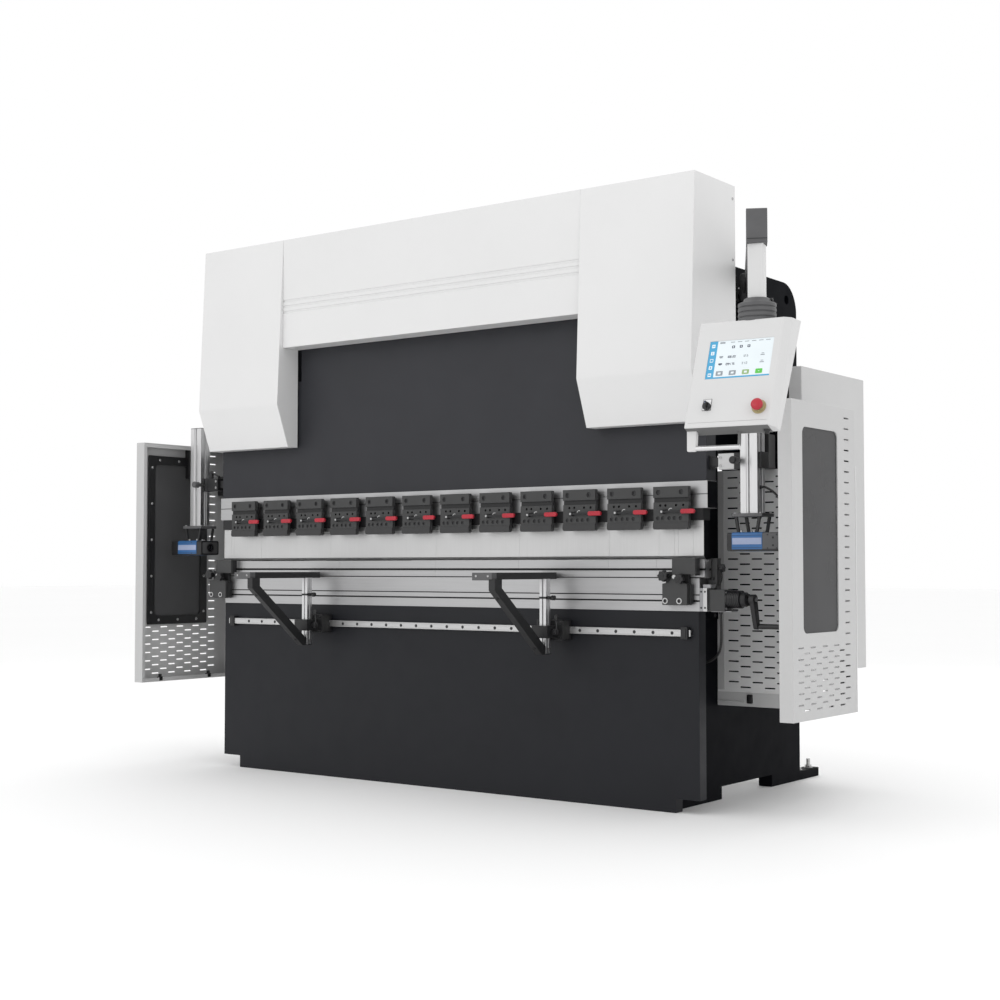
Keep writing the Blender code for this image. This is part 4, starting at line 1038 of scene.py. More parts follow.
def guard_door(side):
    """Deep sheet pan with its open side inwards, a glazed window and slots."""
    name = word(side)
    _, (front, rear), (low, top) = spans(f"guard_door_{name}")
    window = (-0.058, 0.228) if side > 0 else (-0.088, 0.205)
    inner = GUARD_OUT - GUARD_DEPTH
    shell = block(sides(inner, GUARD_OUT)[side], (front, rear), (low, top))
    hollow = block(sides(inner - 0.01, GUARD_OUT - SHEET)[side], (front + SHEET, rear - SHEET),
                   (low + SHEET, top - SHEET))
    opening = prism(rounded(window, (WINDOW_LOW, WINDOW_TOP), 0.025, 8), "X",
                    *sides(inner, GUARD_OUT + 0.01)[side])
    shell = soften(carved(shell, [hollow]), 0.0016, 3)
    first, step = (-0.079, 0.0481) if side > 0 else (-0.113, 0.0497)
    base = low + 0.0554
    places = slot_rows(first, 8, base, 0.614, step)
    places += [(first + 8 * step, base + i * ROW_STEP) for i in range(27)]
    reach = sides(GUARD_OUT - 0.02, GUARD_OUT + 0.01)[side]
    shell = carved(shell, [opening, *slot_cutters(places, "X", *reach, 0.0435)])
    piece = Piece(f"guard_shell_{name}")
    piece.add(shell, GUARD_WHITE)
    lip = 0.014
    for z in (low + SHEET, top - SHEET - 0.002):
        span = (z - 0.002, z + lip) if z < 1 else (z - lip, z + 0.002)
        piece.add(block(sides(inner, inner + 0.002)[side], (front + 0.002, rear - 0.002), span, 0.0006, 1),
                  GUARD_WHITE)
    for y in (front + SHEET, rear - SHEET - lip):
        piece.add(block(sides(inner, inner + 0.002)[side], (y - 0.002, y + lip),
                        (low + 0.0185, top - 0.0205), 0.0006, 1), GUARD_WHITE)
    frame_in, frame_out = -0.004, 0.036
    plate = sides(GUARD_OUT - SHEET - 0.0135, GUARD_OUT - SHEET - 0.0068)[side]
    gasket = prism(rounded((window[0] - frame_out, window[1] + frame_out),
                           (WINDOW_LOW - frame_out, WINDOW_TOP + frame_out), 0.006), "X", *plate)
    hollow = prism(rounded((window[0] - frame_in, window[1] + frame_in),
                           (WINDOW_LOW - frame_in, WINDOW_TOP + frame_in), 0.022, 8),
                   "X", plate[0] - 0.01, plate[1] + 0.01)
    piece.add(soften(carved(gasket, [hollow]), 0.0008, 1), BLACK_PLASTIC)
    heads = [(side * (GUARD_OUT - SHEET - 0.0132), y, z) for y in (window[0] - 0.016, window[1] + 0.016)
             for z in [WINDOW_LOW + 0.02 + i * (WINDOW_TOP - WINDOW_LOW - 0.04) / 4 for i in range(5)]]
    heads += [(side * (GUARD_OUT - SHEET - 0.0132), y, z) for z in (WINDOW_LOW - 0.016, WINDOW_TOP + 0.016)
              for y in [window[0] + 0.03 + i * (window[1] - window[0] - 0.06) / 2 for i in range(3)]]
    screws(piece, BRIGHT, (pan_screw, 0.0062, 0.003), heads, (-side, 0, 0))
    if side < 0:
        piece.add(block((-GUARD_OUT + SHEET - 0.0005, -GUARD_OUT + 0.034), (0.108, 0.131),
                        (1.310, top - SHEET + 0.001), 0.003, 3),
                  BLACK_PLASTIC)
    hinges = [top - 0.180] if side < 0 else [low + 0.140, top - 0.180]
    for z in hinges:
        barrel = (side * (GUARD_OUT - 0.0085), rear - 0.0085)
        piece.add(block(sides(GUARD_OUT - 0.040, GUARD_OUT - SHEET + 0.001)[side],
                        (rear - 0.060, rear - 0.012), (z - 0.045, z + 0.045), 0.0015), BLACK_COAT)
        piece.add(bar(barrel, 0.0045, "Z", z - 0.050, z + 0.050, 20), BRIGHT)
    for y in (front + 0.100, front + 0.400):
        piece.add(block(sides(inner, inner + 0.016)[side], (y, y + 0.026), (low + 0.0005, low + 0.022),
                        0.003, 3), BLACK_PLASTIC)
        piece.add(block(sides(inner + 0.002, inner + 0.012)[side], (y + 0.006, y + 0.020),
                        (low + 0.020, low + 0.034), 0.002), BLACK_PLASTIC)
    piece.done(f"guard_{name}", (f"guard_door_{name}",))
    pane = Piece(f"guard_pane_{name}")
    outline = rounded((window[0] - 0.014, window[1] + 0.014), (WINDOW_LOW - 0.014, WINDOW_TOP + 0.014),
                      0.030, 8)
    pane.add(prism(outline, "X", *sides(GUARD_OUT - SHEET - 0.006, GUARD_OUT - SHEET - GAP)[side], 0.0004,
                   1), PANE)
    pane.done(f"guard_{name}", (f"guard_window_{name}",))


def guard_panel(side):
    """Slotted sheet between the C-frame and the guard's hinge edge, folded on both sides."""
    name = word(side)
    _, (front, back), (low, top) = spans(f"guard_panel_{name}")
    inner, outer = FRAME_OUT + GAP, GUARD_OUT - GUARD_DEPTH - 0.004
    strip = back - SHEET + GAP
    points = [(inner, front), (outer, front), (outer, strip), (GUARD_OUT, strip), (GUARD_OUT, back),
              (outer - SHEET, back),
              (outer - SHEET, front + SHEET), (inner + SHEET, front + SHEET), (inner + SHEET, back),
              (inner, back)]
    sheet = prism([(side * x, y) for x, y in points], "Z", low, top)
    places = slot_rows(inner + 0.068, 9, low + 0.0915, top - 0.018)
    places = [(side * u, v) for u, v in places]
    strip_places = [(side * (GUARD_OUT - 0.030), v) for _, v in slot_rows(0.0, 1, low + 0.05, top - 0.018)]
    sheet = carved(sheet, slot_cutters(places, "Y", front - 0.01, front + 0.008)
                   + slot_cutters(strip_places, "Y", back - 0.012, back + 0.01))
    piece = Piece(f"guard_sheet_{name}")
    # The sheet's paint is brightened: painted light in the shade between the guard door and the frame.
    piece.add(soften(sheet, 0.0004, 1), GUARD_SHEET_LIT)
    rim = sides(inner + 0.001, inner + 0.030)[side]
    piece.add(block(rim, (front - 0.0012, front + 0.001), (low + 0.060, top), 0.0005, 1), LIGHT_GREY)
    fold = sides(inner, outer)[side]
    piece.add(block(fold, (front - 0.0016, front + 0.001), (low, low + 0.052), 0.0006, 1), LIGHT_GREY)
    piece.add(block(sides(inner + 0.002, inner + 0.115)[side], (front - 0.0075, front),
                    (low + 0.014, low + 0.020), 0.0012, 1), LIGHT_GREY)
    catch_x = sides(inner + 0.128, inner + 0.150)[side]
    piece.add(block(catch_x, (front - 0.012, front), (low + 0.012, low + 0.046), 0.003, 2), BLACK_PLASTIC)
    piece.add(block((catch_x[0] + 0.006, catch_x[1] - 0.004), (front - 0.016, front - 0.010),
                    (low + 0.020, low + 0.038), 0.002), BLACK_PLASTIC)
    holes = [(side * (inner + 0.0045), (front + back) / 2 + 0.006, z)
             for z in (0.45, 0.65, 0.85, 1.05, 1.20)]
    screws(piece, BRIGHT, (pan_screw, 0.005, 0.0028), holes, (side, 0, 0))
    if side > 0:
        piece.add(soften(block((1.262, 1.317), (0.300, 0.345), (top + 0.022, top + 0.128)), 0.002),
                  LIGHT_GREY)
        piece.add(block((1.2455, 1.336), (0.296, 0.349), (top - 0.001, top + 0.0225), 0.002), BLACK_PLASTIC)
        piece.add(block((1.316, 1.336), (0.296, 0.349), (top + 0.020, top + 0.128), 0.002), BLACK_PLASTIC)
    piece.done("machine", (f"guard_panel_{name}",))


for hand in (-1, 1):
    guard_door(hand)
    guard_panel(hand)

# ---------------------------------------------------------------- light guards
POST_X, POST_Y = 1.418, 0.004
POST_LOW, POST_TOP = 1.078, 1.530


def slotted_section(half_u, half_v, mouth, deep, pan=0.0):
    """Outline of an extrusion about (0, 0), a T-slot on each face; pan is half the recess around it."""
    wide, throat, chamfer = pan or mouth, mouth * 1.9, 0.001
    half_slot = ((wide, 0.0), (wide - 0.0004, 0.002), (mouth, 0.0024), (throat, 0.0042), (throat, deep))
    slot = [(-offset, depth) for offset, depth in half_slot] + list(reversed(half_slot))
    corners = [Vector(c) for c in ((half_u, -half_v), (half_u, half_v), (-half_u, half_v),
                                   (-half_u, -half_v))]
    points = []
    for a, b in zip(corners, corners[1:] + corners[:1]):
        along = (b - a).normalized()
        inward = Vector((-along.y, along.x))
        points.append(tuple(a + along * chamfer))
        points += [tuple((a + b) / 2 + along * offset + inward * depth) for offset, depth in slot]
        points.append(tuple(b - along * chamfer))
    return points


def light_post(side):
    name, body = word(side), f"light_guard_{word(side)}"
    x = side * POST_X
    piece = Piece(f"light_post_{name}_body")
    profile = [(x + u, POST_Y + v) for u, v in slotted_section(0.034, 0.029, 0.0034, 0.008, 0.0105)]
    piece.add(prism(profile, "Z", POST_LOW - 0.002, POST_TOP - 0.003, 0.0003, 1), ANODISED)
    piece.add(block((x - 0.0335, x + 0.0335), (POST_Y - 0.0285, POST_Y + 0.0285),
                    (POST_TOP - 0.0035, POST_TOP), 0.001), DARK_PLASTIC)
    piece.add(block((x - 0.060, x + 0.060), (POST_Y - 0.048, POST_Y + 0.048), (POST_LOW - 0.012, POST_LOW),
                    0.0018), DARK_PLASTIC)
    heads = [(x + u, POST_Y + v, POST_LOW - 0.0005) for u in (-0.050, 0.050) for v in (-0.038, 0.038)]
    screws(piece, BRIGHT, (socket_screw, 0.0045, 0.0042), heads, (0, 0, 1))
    foot = 1.0113
    for across in (-0.052, 0.040):
        for along in (-0.045, 0.033):
            cx, cy = x + across + 0.006, POST_Y + along + 0.006
            lean = 0.010 if across > 0 else -0.010
            tall = POST_LOW - 0.011 - foot
            lower = [(-0.0055, 0.0), (0.0055, 0.0), (0.0055 + lean, tall), (-0.0055 + lean, tall)]
            leg = prism([(cx - lean + u, foot + w) for u, w in lower], "Y", cy - 0.004, cy + 0.004, 0.0010)
            piece.add(leg, BLACK_COAT)
            piece.add(bar((cx - lean * 2.1, cy), 0.0042, "Z", foot - 0.0006, foot + 0.007, 16), BRIGHT)
    if side > 0:
        gland = (1.4528, POST_Y, 1.170)
        shape = turned([(0.0065, -0.003), (0.0065, 0.004), (0.0055, 0.006), (0.0042, 0.006)], "X",
                       gland[1:], 24)
        shape.transform(Matrix.Translation((gland[0] - 0.006, 0, 0)))
        piece.add(shape, BLACK_PLASTIC)
    piece.done(body, (f"light_post_{name}",))


def light_unit(side):
    name, body = word(side), f"light_guard_{word(side)}"
    (left, right), (front, back), (low, top) = spans(f"light_unit_{name}")
    piece = Piece(f"light_unit_{name}_body")
    shape = rounded((front, back), (low, top), 0.010, 6)
    ends = (0.021, 0.064) if side > 0 else (0.045, 0.032)
    a, b = left + ends[0], right - ends[1]
    piece.add(prism(shape, "X", a - 0.001, b + 0.001, 0.0008), BLUE_COVER)
    smaller = rounded((front + 0.001, back - 0.001), (low + 0.001, top - 0.001), 0.009, 6)
    piece.add(block((left + 0.004, right - 0.002), (front + 0.0006, back - 0.012),
                    (low + 0.0002, low + 0.0085), 0.002), BLACK_PLASTIC)
    piece.add(prism(smaller, "X", left, a, 0.0022, 3), BLACK_PLASTIC)
    piece.add(prism(smaller, "X", b, right, 0.0022, 3), BLACK_PLASTIC if side < 0 else DARK_PLASTIC)
    plate = rounded((a + 0.0015, b - 0.0015), (low + 0.024, low + 0.047), 0.001, 3)
    piece.add(prism(plate, "Y", front - 0.0004, front + 0.003, 0.0003, 1), PALE_LABEL)
    for z in (low + 0.012, top - 0.011):
        piece.add(block((a + 0.001, b - 0.001), (front - 0.0004, front + 0.002), (z - 0.0006, z + 0.0006),
                        0.0002, 1), BLACK_PLASTIC)
    corners = [(x, front + 0.0009, z) for x in ((left + right) / 2 + (0.058 if side > 0 else 0.036),
                                                right - 0.008)
               for z in (low + 0.010, top - 0.010)]
    screws(piece, BLACK_OXIDE, (pan_screw, 0.0030, 0.0012), corners, (0, -1, 0))
    if side < 0:
        lens = (POST_Y, (low + top) / 2)
        frame_y, frame_z = (front + 0.010, back - 0.010), (low + 0.008, top - 0.008)
        piece.add(prism(rounded(frame_y, frame_z, 0.006, 4), "X", right - 0.001, right + 0.0010, 0.0005),
                  DARK_PLASTIC)
        piece.add(ring(lens, 0.020, 0.0135, "X", right + 0.0005, right + 0.0045, 40), BLACK_PLASTIC)
        piece.add(bar(lens, 0.0137, "X", right - 0.001, right + 0.0025, 36, 0.0012), GLASS_DARK)
        piece.add(ring(lens, 0.0090, 0.0074, "X", right + 0.0020, right + 0.0032, 32), BRIGHT)
    else:
        for z in (low + 0.020, low + 0.047):
            piece.add(bar((right - 0.022, z), 0.0035, "Y", front - 0.0004, front + 0.004, 20), DARK_AND_RECESS_SHADE)
        piece.add(bar((POST_Y, 0.9625), 0.0062, "X", right - 0.004, right + 0.0004, 24), BLACK_PLASTIC)
    heads = [(x, y, top - 0.0003) for x in (side * POST_X - 0.046, side * POST_X + 0.046)
             for y in (-0.035, 0.043)]
    screws(piece, BRIGHT, (socket_screw, 0.0035, 0.0005), heads, (0, 0, 1))
    piece.done(body, (f"light_unit_{name}",))


def post_clamp(side):
    """Bracket from the ram's end that grips the post, with its clamping knob."""
    name = word(side)
    low, high = 1.238, 1.295
    x_in, x_block, x_split, x_out = 1.2453, 1.288, 1.352, POST_X - 0.044
    jaw = LIGHT_GREY if side > 0 else BLACK_COAT
    piece = Piece(f"post_bracket_{name}")
    piece.add(block(sides(x_in, 1.300)[side], (0.004, 0.030), (low + 0.012, high - 0.012), 0.0015),
              BLACK_COAT)
    piece.add(block(sides(x_block, x_split)[side], (-0.010, 0.030), (low, high), 0.002), jaw)
    piece.add(block(sides(x_split, x_out)[side], (-0.011, 0.030), (low - 0.001, high + 0.001), 0.002),
              BLACK_COAT)
    slack = 0.0006
    outer = rounded((-0.044, 0.044), (-0.041, 0.041), 0.004, 4)
    outer = [(u, max(v, -0.018)) for u, v in outer]
    collar = prism([(side * POST_X + u, POST_Y + v) for u, v in dict.fromkeys(outer)], "Z", low, high)
    bore = block((side * POST_X - 0.034 - slack, side * POST_X + 0.034 + slack),
                 (POST_Y - 0.040, POST_Y + 0.029 + slack), (low - 0.01, high + 0.01))
    piece.add(soften(carved(collar, [bore]), 0.001, 2), BLACK_COAT)
    for z in (low + 0.014, high - 0.014):
        piece.add(socket_screw(0.0050, 0.0035), BRIGHT, aim((side * 1.298, -0.0098, z), (0, -1, 0), z * 9))
    knob = (side * 1.378, 1.266)
    grip = BLACK_PLASTIC if side > 0 else DARK_PLASTIC
    piece.add(turned(knob_profile(0.014, -0.030, -0.075), "Y", knob, 36), grip)
    piece.add(bar(knob, 0.0045, "Y", -0.046, -0.008, 20), BRIGHT)
    flange = sides(x_in, x_in + 0.006)[side]
    piece.add(block(flange, (0.002, 0.046), (low + 0.004, high - 0.004), 0.001), BLACK_COAT)
    heads = [(side * (x_in + 0.0055), 0.039, z) for z in (low + 0.014, high - 0.014)]
    screws(piece, BRIGHT, (socket_screw, 0.0040, 0.0030), heads, (side, 0, 0))
    if side < 0:
        piece.add(turned([(0.0105, high - 0.001), (0.0115, high + 0.006), (0.0115, high + 0.026),
                          (0.0085, high + 0.034),
                          (0.0008, high + 0.035)], "Z", (-1.345, 0.006), 28), BLACK_PLASTIC)
        handle = [(-1.342, 0.004, high + 0.024), (-1.322, -0.004, high + 0.024),
                  (-1.296, -0.012, high + 0.016), (-1.268, -0.018, high + 0.006)]
        piece.add(pipe(handle, 0.0042, 16, 14), BLACK_PLASTIC)
    piece.done("ram_body", (f"post_clamp_{name}",))


def knob_profile(radius, base, tip):
    """Turned outline of a grip knob from its neck to its crown."""
    step = (tip - base) / 10
    shares = ((0.55, 0), (0.60, 2), (0.95, 3.2), (1.0, 4), (0.93, 6), (1.0, 8), (0.96, 9.2), (0.70, 10))
    return [(radius * share, base + step * k) for share, k in shares]


for hand in (-1, 1):
    light_post(hand)
    light_unit(hand)
    post_clamp(hand)

# ---------------------------------------------------------------- front sheet supports
SUPPORT_X, SUPPORT_Y, SUPPORT_POST = (-0.622, 0.607), -0.120, 0.030
SLAB_THICK, SLAB_WIDTH = 0.025, 0.090


def support_arm(name, x):
    _, (front, back), (low, top) = spans(f"support_arm_{name}")
    half = SUPPORT_POST / 2
    under = top - SLAB_THICK
    piece = Piece(f"support_arm_{name}_body")
    piece.add(block((x - SLAB_WIDTH, x), (front + 0.030, back), (under, top), 0.0016), BLACK_COAT)
    piece.add(block((x - SLAB_WIDTH, x), (front, front + 0.0305), (under - 0.003, top), 0.0012),
              DARK_PLASTIC)
    heads = [(x - SLAB_WIDTH + 0.018, front + 0.0005, (under + top) / 2),
             (x - 0.018, front + 0.0005, (under + top) / 2)]
    screws(piece, BRIGHT, (socket_screw, 0.0042, 0.0016), heads, (0, -1, 0))
    # Two near-black lines on the top stand for grooves: painted shade.
    for offset in (0.022, 0.068):
        groove = block((x - offset - 0.0018, x - offset + 0.0018), (front + 0.034, back - 0.006),
                       (top - 0.0006, top + 0.0001), 0.0)
        piece.add(groove, DARK_AND_RECESS_SHADE)
    profile = [(x + u, SUPPORT_Y + v) for u, v in slotted_section(half, half, 0.0030, 0.0060)]
    piece.add(prism(profile, "Z", low + 0.003, under + 0.001, 0.0003, 1), ANODISED)
    piece.add(block((x - half + 0.0004, x + half - 0.0004),
                    (SUPPORT_Y - half + 0.0004, SUPPORT_Y + half - 0.0004), (low, low + 0.0035),
                    0.001), BLACK_PLASTIC)
    brace = [(front, under + 0.002), (front, 0.803), (-0.160, 0.560), (SUPPORT_Y + half, 0.560),
             (SUPPORT_Y + half, 0.580), (-0.1425, 0.594), (-0.412, 0.812), (-0.412, under + 0.002)]
    thin = half - 0.0005
    piece.add(prism(brace, "X", x - thin, x + thin, 0.0014), BLACK_COAT)
    slope = Vector((0.0, brace[2][0] - brace[1][0], brace[2][1] - brace[1][1])).normalized()
    out = Vector((0.0, slope.z, -slope.y))
    if out.y > 0:
        out = -out
    for share in (0.12, 0.90):
        y = brace[1][0] + (brace[2][0] - brace[1][0]) * share
        z = brace[1][1] + (brace[2][1] - brace[1][1]) * share
        spot = Vector((x, y, z)) - out * 0.0006
        piece.add(socket_screw(0.0060, 0.0028), BLACK_OXIDE, aim(spot, out, share))
    clip = (low + top) / 2 + 0.059
    piece.add(block((x - half - 0.0012, x + half + 0.0012),
                    (SUPPORT_Y - half - 0.0012, SUPPORT_Y + half + 0.0012),
                    (clip - 0.004, clip + 0.004), 0.0008), BLACK_COAT)
    piece.add(block((x + half, x + half + 0.013), (SUPPORT_Y - 0.010, SUPPORT_Y + 0.010),
                    (clip - 0.006, clip + 0.006), 0.0015), BLACK_COAT)
    piece.add(turned(knob_profile(0.0095, 0.0, 0.021), "X", (SUPPORT_Y, clip), 28), BLACK_PLASTIC,
              Matrix.Translation((x + half + 0.011, 0.0, 0.0)))
    piece.done(f"support_{name}", (f"support_arm_{name}",))


def support_carriage(name, x):
    node = f"support_carriage_{name}"
    (left, right), (_, back), (low, top) = spans(node)
    half, slack = SUPPORT_POST / 2, 0.0006
    face, rail = -0.090, (0.6365, 0.6635)
    piece = Piece(f"support_slide_{name}")
    piece.add(block((left, right), (face, -0.0438), (low, top), 0.0016), BLACK_COAT)
    for z in ((rail[1], top), (low, rail[0])):
        piece.add(block((left, right), (-0.052, back), z, 0.0008), BLACK_COAT)
    collar = block((x - 0.036, x + 0.036), (-0.158, face + 0.005), (0.622, 0.668))
    behind = SUPPORT_Y + half
    bore = block((x - half - slack, x + half + slack), (SUPPORT_Y - half - slack, behind + slack),
                 (0.60, 0.70))
    piece.add(soften(carved(collar, [bore]), 0.0012, 2), BLACK_COAT)
    heads = [(px, face + 0.0006, pz) for px in (left + 0.012, right - 0.012)
             for pz in (low + 0.012, top - 0.012)]
    screws(piece, BLACK_OXIDE, (socket_screw, 0.0052, 0.0042), heads, (0, -1, 0))
    for px in (left, right):
        piece.add(block((px - 0.0005, px + 0.0005), (-0.0880, -0.0460), (low + 0.004, top - 0.004), 0.0002,
                        1), RUBBER)
    piece.add(turned(knob_profile(0.012, 0.0, 0.026), "X", (-0.124, 0.645), 28), BLACK_PLASTIC,
              Matrix.Translation((x + 0.034, 0.0, 0.0)))
    stem = [(x + 0.052, -0.124, 0.645), (x + 0.056, -0.126, 0.652), (x + 0.058, -0.128, 0.672),
            (x + 0.058, -0.130, 0.690)]
    piece.add(pipe(stem, 0.0034, 12, 12), BLACK_OXIDE)
    piece.add(turned([(0.003, 0.0), (0.0065, 0.003), (0.0075, 0.010), (0.0068, 0.020), (0.003, 0.024)], "Z",
                     (x + 0.058, -0.130), 24),
              BLACK_PLASTIC, Matrix.Translation((0.0, 0.0, 0.686)))
    piece.done(f"carriage_{name}", (node,))


for name, x in zip(("left", "right"), SUPPORT_X):
    support_arm(name, x)
    support_carriage(name, x)

# ---------------------------------------------------------------- bed ends and crank
def star_knob(radius, depth, lobes=7, steps=70):
    """Grip knob with lobes, standing on z = 0."""
    points = []
    for i in range(steps):
        angle = math.tau * i / steps
        reach = radius * (0.91 + 0.09 * math.cos(lobes * angle))
        points.append((reach * math.cos(angle), reach * math.sin(angle)))
    return merged([prism(points, "Z", depth * 0.30, depth, radius * 0.10, 2),
                   turned([(radius * 0.42, 0.0), (radius * 0.46, depth * 0.25),
                           (radius * 0.62, depth * 0.34)], sides=28),
                   turned([(radius * 0.36, depth * 0.98), (radius * 0.33, depth * 1.04)], sides=28)])


def end_clamp(name, x):
    """Stop block at one end of the bed; x is the left edge of its lower block."""
    face, back = -0.060, -0.0255
    piece = Piece(f"end_clamp_{name}_body")
    peak = [(x, 0.751), (x + 0.103, 0.751), (x + 0.103, 0.828), (x + 0.075, 0.834), (x + 0.058, 0.862),
            (x + 0.046, 0.862), (x + 0.028, 0.834), (x, 0.828)]
    piece.add(prism(peak, "Y", face, back, 0.0016), CLAMP_GREY)
    piece.add(block((x + 0.041, x + 0.137), (face, back), (0.862, 0.921), 0.0014), CLAMP_GREY)
    # Near-black blocks on the right ends and behind the front: painted shade on the shaded sides and in the
    # recess.
    piece.add(block((x + 0.130, x + 0.1375), (face + 0.010, back), (0.858, 0.920), 0.001), DARK_AND_RECESS_SHADE)
    piece.add(block((x + 0.003, x + 0.100), (-0.040, back), (0.820, 0.872), 0.002), DARK_AND_RECESS_SHADE)
    piece.add(block((x + 0.100, x + 0.112), (face + 0.014, back), (0.755, 0.826), 0.002), DARK_AND_RECESS_SHADE)
    for u in (0.013, 0.071):
        spot = (x + u, face + 0.0006, 0.766)
        piece.add(ring((0.0, 0.0), 0.0112, 0.0070, "Z", -0.001, 0.0024, 32), BRIGHT, aim(spot, (0, -1, 0)))
        piece.add(socket_screw(0.0072, 0.0034), BLACK_OXIDE, aim(spot, (0, -1, 0), u * 20))
    piece.add(star_knob(0.021, 0.028), BLACK_PLASTIC, aim((x + 0.012, -0.053, 0.856), (0, -1, 0), 0.4))
    piece.add(bar((x + 0.012, 0.856), 0.0075, "Y", -0.056, -0.036, 24), BRIGHT)
    piece.add(star_knob(0.0185, 0.026, 6), BLACK_PLASTIC, aim((x + 0.080, -0.056, 0.846), (0, -1, 0), 0.9))
    piece.add(bar((x + 0.052, 0.853), 0.0078, "Y", -0.067, -0.058, 28, 0.0014), BRIGHT)
    piece.done("machine", (f"end_clamp_{name}",))


CRANK_Y, CRANK_Z = 0.010, 0.773


def crank_drive():
    piece = Piece("crank_drive_body")
    centre = (CRANK_Y, CRANK_Z)
    piece.add(block((1.2183, 1.2315), (-0.025, 0.035), (0.729, 0.813), 0.0008), BLUE_STEEL)
    piece.add(block((1.2318, 1.2480), (-0.025, 0.035), (0.729, 0.813), 0.0008), GROUND_PALE)
    piece.add(block((1.2478, 1.2580), (-0.019, 0.034), (0.734, 0.810), 0.0012), DARK_AND_RECESS_SHADE)
    piece.add(block((1.2240, 1.2560), (-0.012, 0.040), (0.8125, 0.826), 0.001), BLUE_STEEL)
    piece.add(block((1.2575, 1.3180), (-0.022, 0.042), (0.730, 0.808), 0.003, 3), CLAMP_GREY)
    piece.add(block((1.2600, 1.3420), (-0.016, 0.030), (0.7280, 0.7315), 0.0008), BLUE_STEEL)
    grip = [(0.0315, 1.3165), (0.0320, 1.3180)]
    x = 1.3200
    while x < 1.368:
        grip += [(0.0320, x), (0.0320, x + 0.0030), (0.0303, x + 0.0036), (0.0303, x + 0.0050),
                 (0.0320, x + 0.0056)]
        x += 0.0070
    grip += [(0.0320, 1.3705), (0.0300, 1.3720)]
    piece.add(turned(grip, "X", centre, 56), BLACK_PLASTIC)
    piece.add(turned([(0.0245, 1.3715), (0.0260, 1.3730), (0.0260, 1.3880), (0.0225, 1.3920)], "X", centre,
                     40), DARK_AND_RECESS_SHADE)
    piece.add(turned([(0.0150, 1.3910), (0.0150, 1.3950), (0.0090, 1.3965), (0.0090, 1.4040)], "X", centre,
                     32), BLACK_OXIDE)
    heads = [(1.3172, y, z) for y in (-0.012, 0.032) for z in (0.740, 0.798)]
    screws(piece, BLUE_STEEL, (socket_screw, 0.0045, 0.0040), heads, (1, 0, 0))
    front = [(x, -0.0248, z) for x in (1.2245, 1.2400) for z in (0.742, 0.800)]
    screws(piece, BLACK_OXIDE, (socket_screw, 0.0038, 0.0010), front, (0, -1, 0))
    piece.add(block((1.276, 1.292), (0.004, 0.020), (0.7265, 0.7310), 0.001), DARK_AND_RECESS_SHADE)
    piece.add(bar((1.284, 0.012), 0.0068, "Z", 0.7185, 0.7290, 28), BLACK_PLASTIC)
    bracket = soften(block((1.2225, 1.2600), (0.0300, 0.0600), (0.800, 0.920)), 0.0016)
    slots = [block((u, u + 0.007), (0.02, 0.036), (0.842, 0.852)) for u in (1.2300, 1.2440)]
    piece.add(carved(bracket, slots), CLAMP_GREY)
    piece.add(socket_screw(0.0060, 0.0030), BLACK_OXIDE, aim((1.2360, 0.0302, 0.908), (0, -1, 0), 0.3))
    piece.add(star_knob(0.0150, 0.020, 6), BLACK_PLASTIC, aim((1.2598, 0.045, 0.884), (1, 0, 0), 0.2))
    sleeve = [(1.2660, 0.045, 0.880), (1.2700, 0.047, 0.862), (1.2680, 0.046, 0.840),
              (1.2600, 0.042, 0.822), (1.2520, 0.038, 0.812)]
    piece.add(pipe(sleeve, 0.0032, 18, 12), RUBBER)
    piece.done("machine", ("crank_drive",))


def crank_handle():
    x, radius, lean = 1.4043, 0.098, 14.0
    foot_y = CRANK_Y + radius * math.sin(math.radians(lean))
    foot_z = CRANK_Z - radius * math.cos(math.radians(lean))
    arm = arc((CRANK_Y, CRANK_Z), 0.0168, lean, 180 + lean, 16)
    arm += arc((foot_y, foot_z), 0.0113, 180 + lean, 360 + lean, 14)
    piece = Piece("crank_handle_body")
    piece.add(prism(arm, "X", x + 0.001, x + 0.019, 0.0028, 3), BLACK_COAT)
    piece.add(turned([(0.0175, x), (0.0185, x + 0.0015), (0.0185, x + 0.0185), (0.0150, x + 0.0205)], "X",
                     (CRANK_Y, CRANK_Z), 36), BLACK_COAT)
    piece.add(socket_screw(0.0080, 0.0040), BLUE_STEEL, aim((x + 0.0195, CRANK_Y, CRANK_Z), (1, 0, 0), 0.3))
    grip = [(0.0060, x + 0.018), (0.0088, x + 0.021), (0.0095, x + 0.028), (0.0090, x + 0.060),
            (0.0095, x + 0.095), (0.0088, x + 0.106), (0.0060, x + 0.110)]
    piece.add(turned(grip, "X", (foot_y, foot_z), 32), BLACK_PLASTIC)
    piece.add(turned([(0.0050, x), (0.0055, x + 0.022)], "X", (foot_y, foot_z), 20), BRIGHT)
    piece.done("crank", ("crank_handle",))


end_clamp("left", -1.282)
end_clamp("right", 1.083)
crank_drive()
crank_handle()

# ---------------------------------------------------------------- pendant
DROP_X, DROP_Y = 1.664, -0.4325
DROP_TURN = math.radians(15.0)
TUBE_LOW, TUBE_TOP = 1.756, 1.9347
PANEL_YAW, PANEL_TILT = math.radians(5.0), math.radians(21.0)
PANEL_WIDTH, PANEL_HEIGHT, PANEL_SHIFT = 0.306, 0.378, -0.020
PANEL_DEPTH_TOP, PANEL_DEPTH_LOW, PANEL_DROP, PANEL_BEVEL = 0.108, 0.052, 0.020, 0.026
PANEL_FRONT_TOP, PANEL_ROOF = 0.060, 1.682
STOP_PLACE, SWITCH_PLACE = (0.094, -0.127), (-0.084, -0.116)
SCREEN = ((-0.107, 0.112), (-0.018, 0.119))


